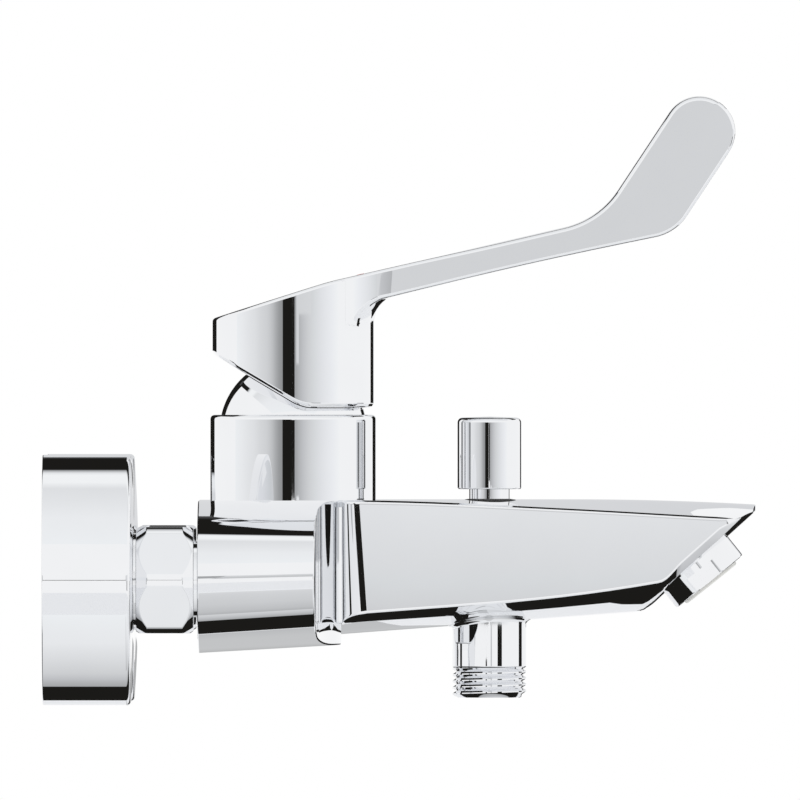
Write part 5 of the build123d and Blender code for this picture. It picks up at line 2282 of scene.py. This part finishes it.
# The near black of the painted dark reflection bands; the cards below paint the chrome's reflections in
# emitted greys.
REFLECTION_BLACK = "#1D1C1A"
FLAGS = (
    Flag(
        "left_flag",
        (
            (-88.0, "#F9FBFC"),
            (-76.0, "#F5F6F7"),
            (-66.0, "#EFF0F1"),
            (-56.0, "#EAEBEC"),
            (-47.0, "#E1E2E3"),
            (-37.5, "#DADBDC"),
            (-33.0, "#D2D3D4"),
            (-28.7, "#C6C7C8"),
            (-24.0, "#B2B3B4"),
            (-20.0, "#A3A4A5"),
            (-14.9, "#969798"),
            (-14.4, REFLECTION_BLACK),
            (-2.0, REFLECTION_BLACK),
        ),
        low=-0.037,
        high=0.3,
    ),
    Flag("core_flag", ((-2.1, REFLECTION_BLACK), (2.4, REFLECTION_BLACK)), low=-0.084, high=0.215, distance=FAR),
    Flag(
        "right_flag",
        (
            (2.4, "#CDCED0"),
            (2.9, "#A7A8A9"),
            (4.6, "#AEAFB0"),
            (7.0, "#B8B9BA"),
            (14.0, "#CACBCD"),
            (22.0, "#D9DADB"),
            (31.0, "#E3E5E6"),
            (40.0, "#ECEDEF"),
            (48.0, "#F2F3F5"),
            (58.0, "#F8F9FB"),
            (68.0, "#FEFFFF"),
        ),
        low=-0.037,
        high=0.3,
    ),
    # Painted reflections aimed at single parts: grey bands on the lever arm and its root, the spout's side
    # facet and the bar.
    Flag("lever_painted_reflection", ((4.6, "#DDDEDF"), (8.4, "#DDDEDF")), low=0.0648, high=0.3, distance=3.9),
    Flag("root_painted_reflection", ((8.4, "#DDDEDF"), (26.0, "#E1E2E3")), low=0.084, high=0.3, distance=3.9),
    Flag(
        "facet_painted_reflection",
        (
            (-0.13, "#BBBCBD"),
            (-0.0424, "#CACBCD"),
            (-0.0374, "#D2D3D4"),
            (-0.0286, "#DDDEDF"),
            (-0.019, "#E3E5E6"),
            (-0.0126, "#E6E7E8"),
            (0.0135, "#EFF0F1"),
        ),
        low=-0.13,
        high=0.0135,
        distance=3.9,
        span=(4.6, 8.4),
    ),
    Flag(
        "bar_painted_reflection",
        ((-1.0, "#C3C4C5"), (-0.35, "#C8C9CA"), (-0.05, "#AEAFB0")),
        low=-1.0,
        high=-0.03,
        distance=1.5,
        span=(177.2, 182.0),
    ),
    # Painted reflections: thin black lines on the outlet and at a corner.
    Flag("outlet_painted_reflection_line", ((26.0, REFLECTION_BLACK), (40.0, REFLECTION_BLACK)), low=-0.6, high=-0.037),
    Flag("corner_painted_reflection_line", ((-11.0, REFLECTION_BLACK), (-6.8, REFLECTION_BLACK)), low=-0.13, high=-0.052),
    Flag("low_left_side", ((-105.5, REFLECTION_BLACK), (-96.0, REFLECTION_BLACK)), low=-1.6, high=-0.03),
    Flag("low_right_side", ((105.0, REFLECTION_BLACK), (122.0, REFLECTION_BLACK)), low=-1.6, high=-0.03),
    Flag("rear_left", ((-177.0, REFLECTION_BLACK), (-143.0, REFLECTION_BLACK)), low=-0.028, high=2.4),
    Flag("rear_right", ((147.0, REFLECTION_BLACK), (168.0, REFLECTION_BLACK)), low=-0.025, high=1.0),
    Flag("rear_low", ((150.0, REFLECTION_BLACK), (176.0, REFLECTION_BLACK)), low=-2.4, high=-0.35),
    Flag("rear_wall", ((152.0, "#DCDDDF"), (208.0, "#DCDDDF")), low=-0.05, high=3.45, distance=6.0),
)
TABLES = (
    Table(
        "canopy",
        1.0,
        (
            (-1.6, "#FAFCFD"),
            (-0.67, "#F7F8F9"),
            (-0.3, "#EFF0F1"),
            (-0.035, "#EAEBEC"),
            (0.12, "#FEFFFF"),
            (0.33, "#FEFFFF"),
            (0.41, "#EFF0F1"),
            (0.53, "#8F9091"),
            (0.55, REFLECTION_BLACK),
            (1.3, REFLECTION_BLACK),
        ),
    ),
    Table(
        "rear_canopy",
        1.0,
        ((1.3, REFLECTION_BLACK), (1.6, REFLECTION_BLACK), (2.25, "#59595A")),
        half_width=0.6075,
        centre_x=-0.4425,
    ),
    Table("low_left_card", -0.992, ((-0.9, REFLECTION_BLACK), (1.3, REFLECTION_BLACK)), half_width=1.0, centre_x=-1.3),
    # A painted reflection: greys that only the bar's underside sees.
    Table(
        "under_bar_painted_reflection",
        -0.99,
        ((-1.6, "#E6E7E8"), (-1.38, "#DEDFE0"), (-0.58, "#D5D6D7"), (-0.21, "#C9CACB"), (-0.05, "#BBBCBD")),
        half_width=0.135,
        centre_x=0.185,
    ),
    Table(
        "tray",
        -1.0,
        (
            (-1.7, "#FAFCFD"),
            (-0.67, "#F4F5F6"),
            (-0.287, "#E6E7E8"),
            (0.0, "#D9DADB"),
            (0.14, "#CACBCD"),
            (0.25, "#BBBCBD"),
            (0.375, "#AEAFB0"),
            (0.385, REFLECTION_BLACK),
            (1.42, REFLECTION_BLACK),
        ),
    ),
)


@dataclass
class Studio:
    """The white studio: world, pale floor, reflection cards and the camera."""

    flag_axis: float = 0.07
    lens: float = 1694.9
    distance: float = 10.7
    aim_x: float = 0.1008
    aim_z: float = 0.0508
    floor_centre: float = 0.1
    floor_height: float = -1.2
    floor_radius: float = 6.0
    floor_roughness: float = 0.9
    floor_parts: int = 64
    sensor: float = 36.0
    clip: Pair = (0.1, 200.0)

    def build(self) -> None:
        """Set the world, floor, cards and camera."""
        self.light_world()
        self.lay_floor()
        for flag in FLAGS:
            flag.build(self.flag_axis)
        for table in TABLES:
            table.build()
        self.set_camera()

    def light_world(self) -> None:
        """A plain white world, which the camera and reflections see as pure white."""
        world = bpy.data.worlds.new("white_studio")
        bpy.context.scene.world = world
        world.use_nodes = True
        tree = world.node_tree
        tree.nodes.clear()
        rays = add_node(tree, "ShaderNodeLightPath")
        seen = rays.outputs["Is Camera Ray"]
        for kind in ("Is Glossy Ray", "Is Transmission Ray"):
            seen = reckon(tree, "MAXIMUM", seen, rays.outputs[kind])
        backdrop = add_node(tree, "ShaderNodeBackground", {"Color": (1, 1, 1, 1), "Strength": 1.0})
        fill = add_node(tree, "ShaderNodeBackground", {"Color": linear("#F7F8FA"), "Strength": 1.0})
        shades = {0: seen, 1: fill.outputs[0], 2: backdrop.outputs[0]}
        mix = add_node(tree, "ShaderNodeMixShader", shades)
        add_node(tree, "ShaderNodeOutputWorld", {"Surface": mix.outputs[0]})

    def lay_floor(self) -> None:
        """A wide pale floor, below the frame's edge."""
        form = bmesh.new()
        bmesh.ops.create_circle(
            form, cap_ends=True, radius=self.floor_radius, segments=self.floor_parts
        )
        bmesh.ops.translate(form, verts=form.verts, vec=(self.floor_centre, 0, self.floor_height))
        floor = mesh_object("studio_floor", form)
        material = blank_material("painted_studio_floor")
        tree = material.node_tree
        shader = add_node(
            tree,
            "ShaderNodeBsdfPrincipled",
            {"Base Color": linear("#FAFAFA"), "Roughness": self.floor_roughness},
        )
        add_node(tree, "ShaderNodeOutputMaterial", {"Surface": shader.outputs["BSDF"]})
        floor.data.materials.append(material)

    def set_camera(self) -> None:
        """A very long lens, level with the lever's root, square to the hot side."""
        lens = bpy.data.cameras.new("studio_camera")
        lens.lens = self.lens
        lens.sensor_width = self.sensor
        lens.clip_start, lens.clip_end = self.clip
        camera = bpy.data.objects.new("studio_camera", lens)
        camera.location = (self.aim_x, -self.distance, self.aim_z)
        camera.rotation_euler = (math.pi / 2, 0, 0)
        bpy.context.scene.collection.objects.link(camera)
        bpy.context.scene.camera = camera
        bpy.context.scene.view_settings.view_transform = "Standard"


def main() -> None:
    """Load the frame, build every sub-assembly around it and set the studio."""
    logging.basicConfig(level=logging.INFO, format="%(name)s: %(message)s")
    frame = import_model()
    bench = Workbench(Palette())
    for hand in Hand:
        WallRose(hand).build(bench)
        WallUnion(hand).build(bench)
    CrossBody().build(bench)
    Turret().build(bench)
    Spout().build(bench)
    Lever().build(bench)
    Indicator().build(bench)
    Diverter().build(bench)
    ShowerOutlet().build(bench)
    Nozzle().build(bench)
    InnerWorks().build(bench, frame["nodes"])
    Studio().build()


if __name__ == "__main__":
    main()
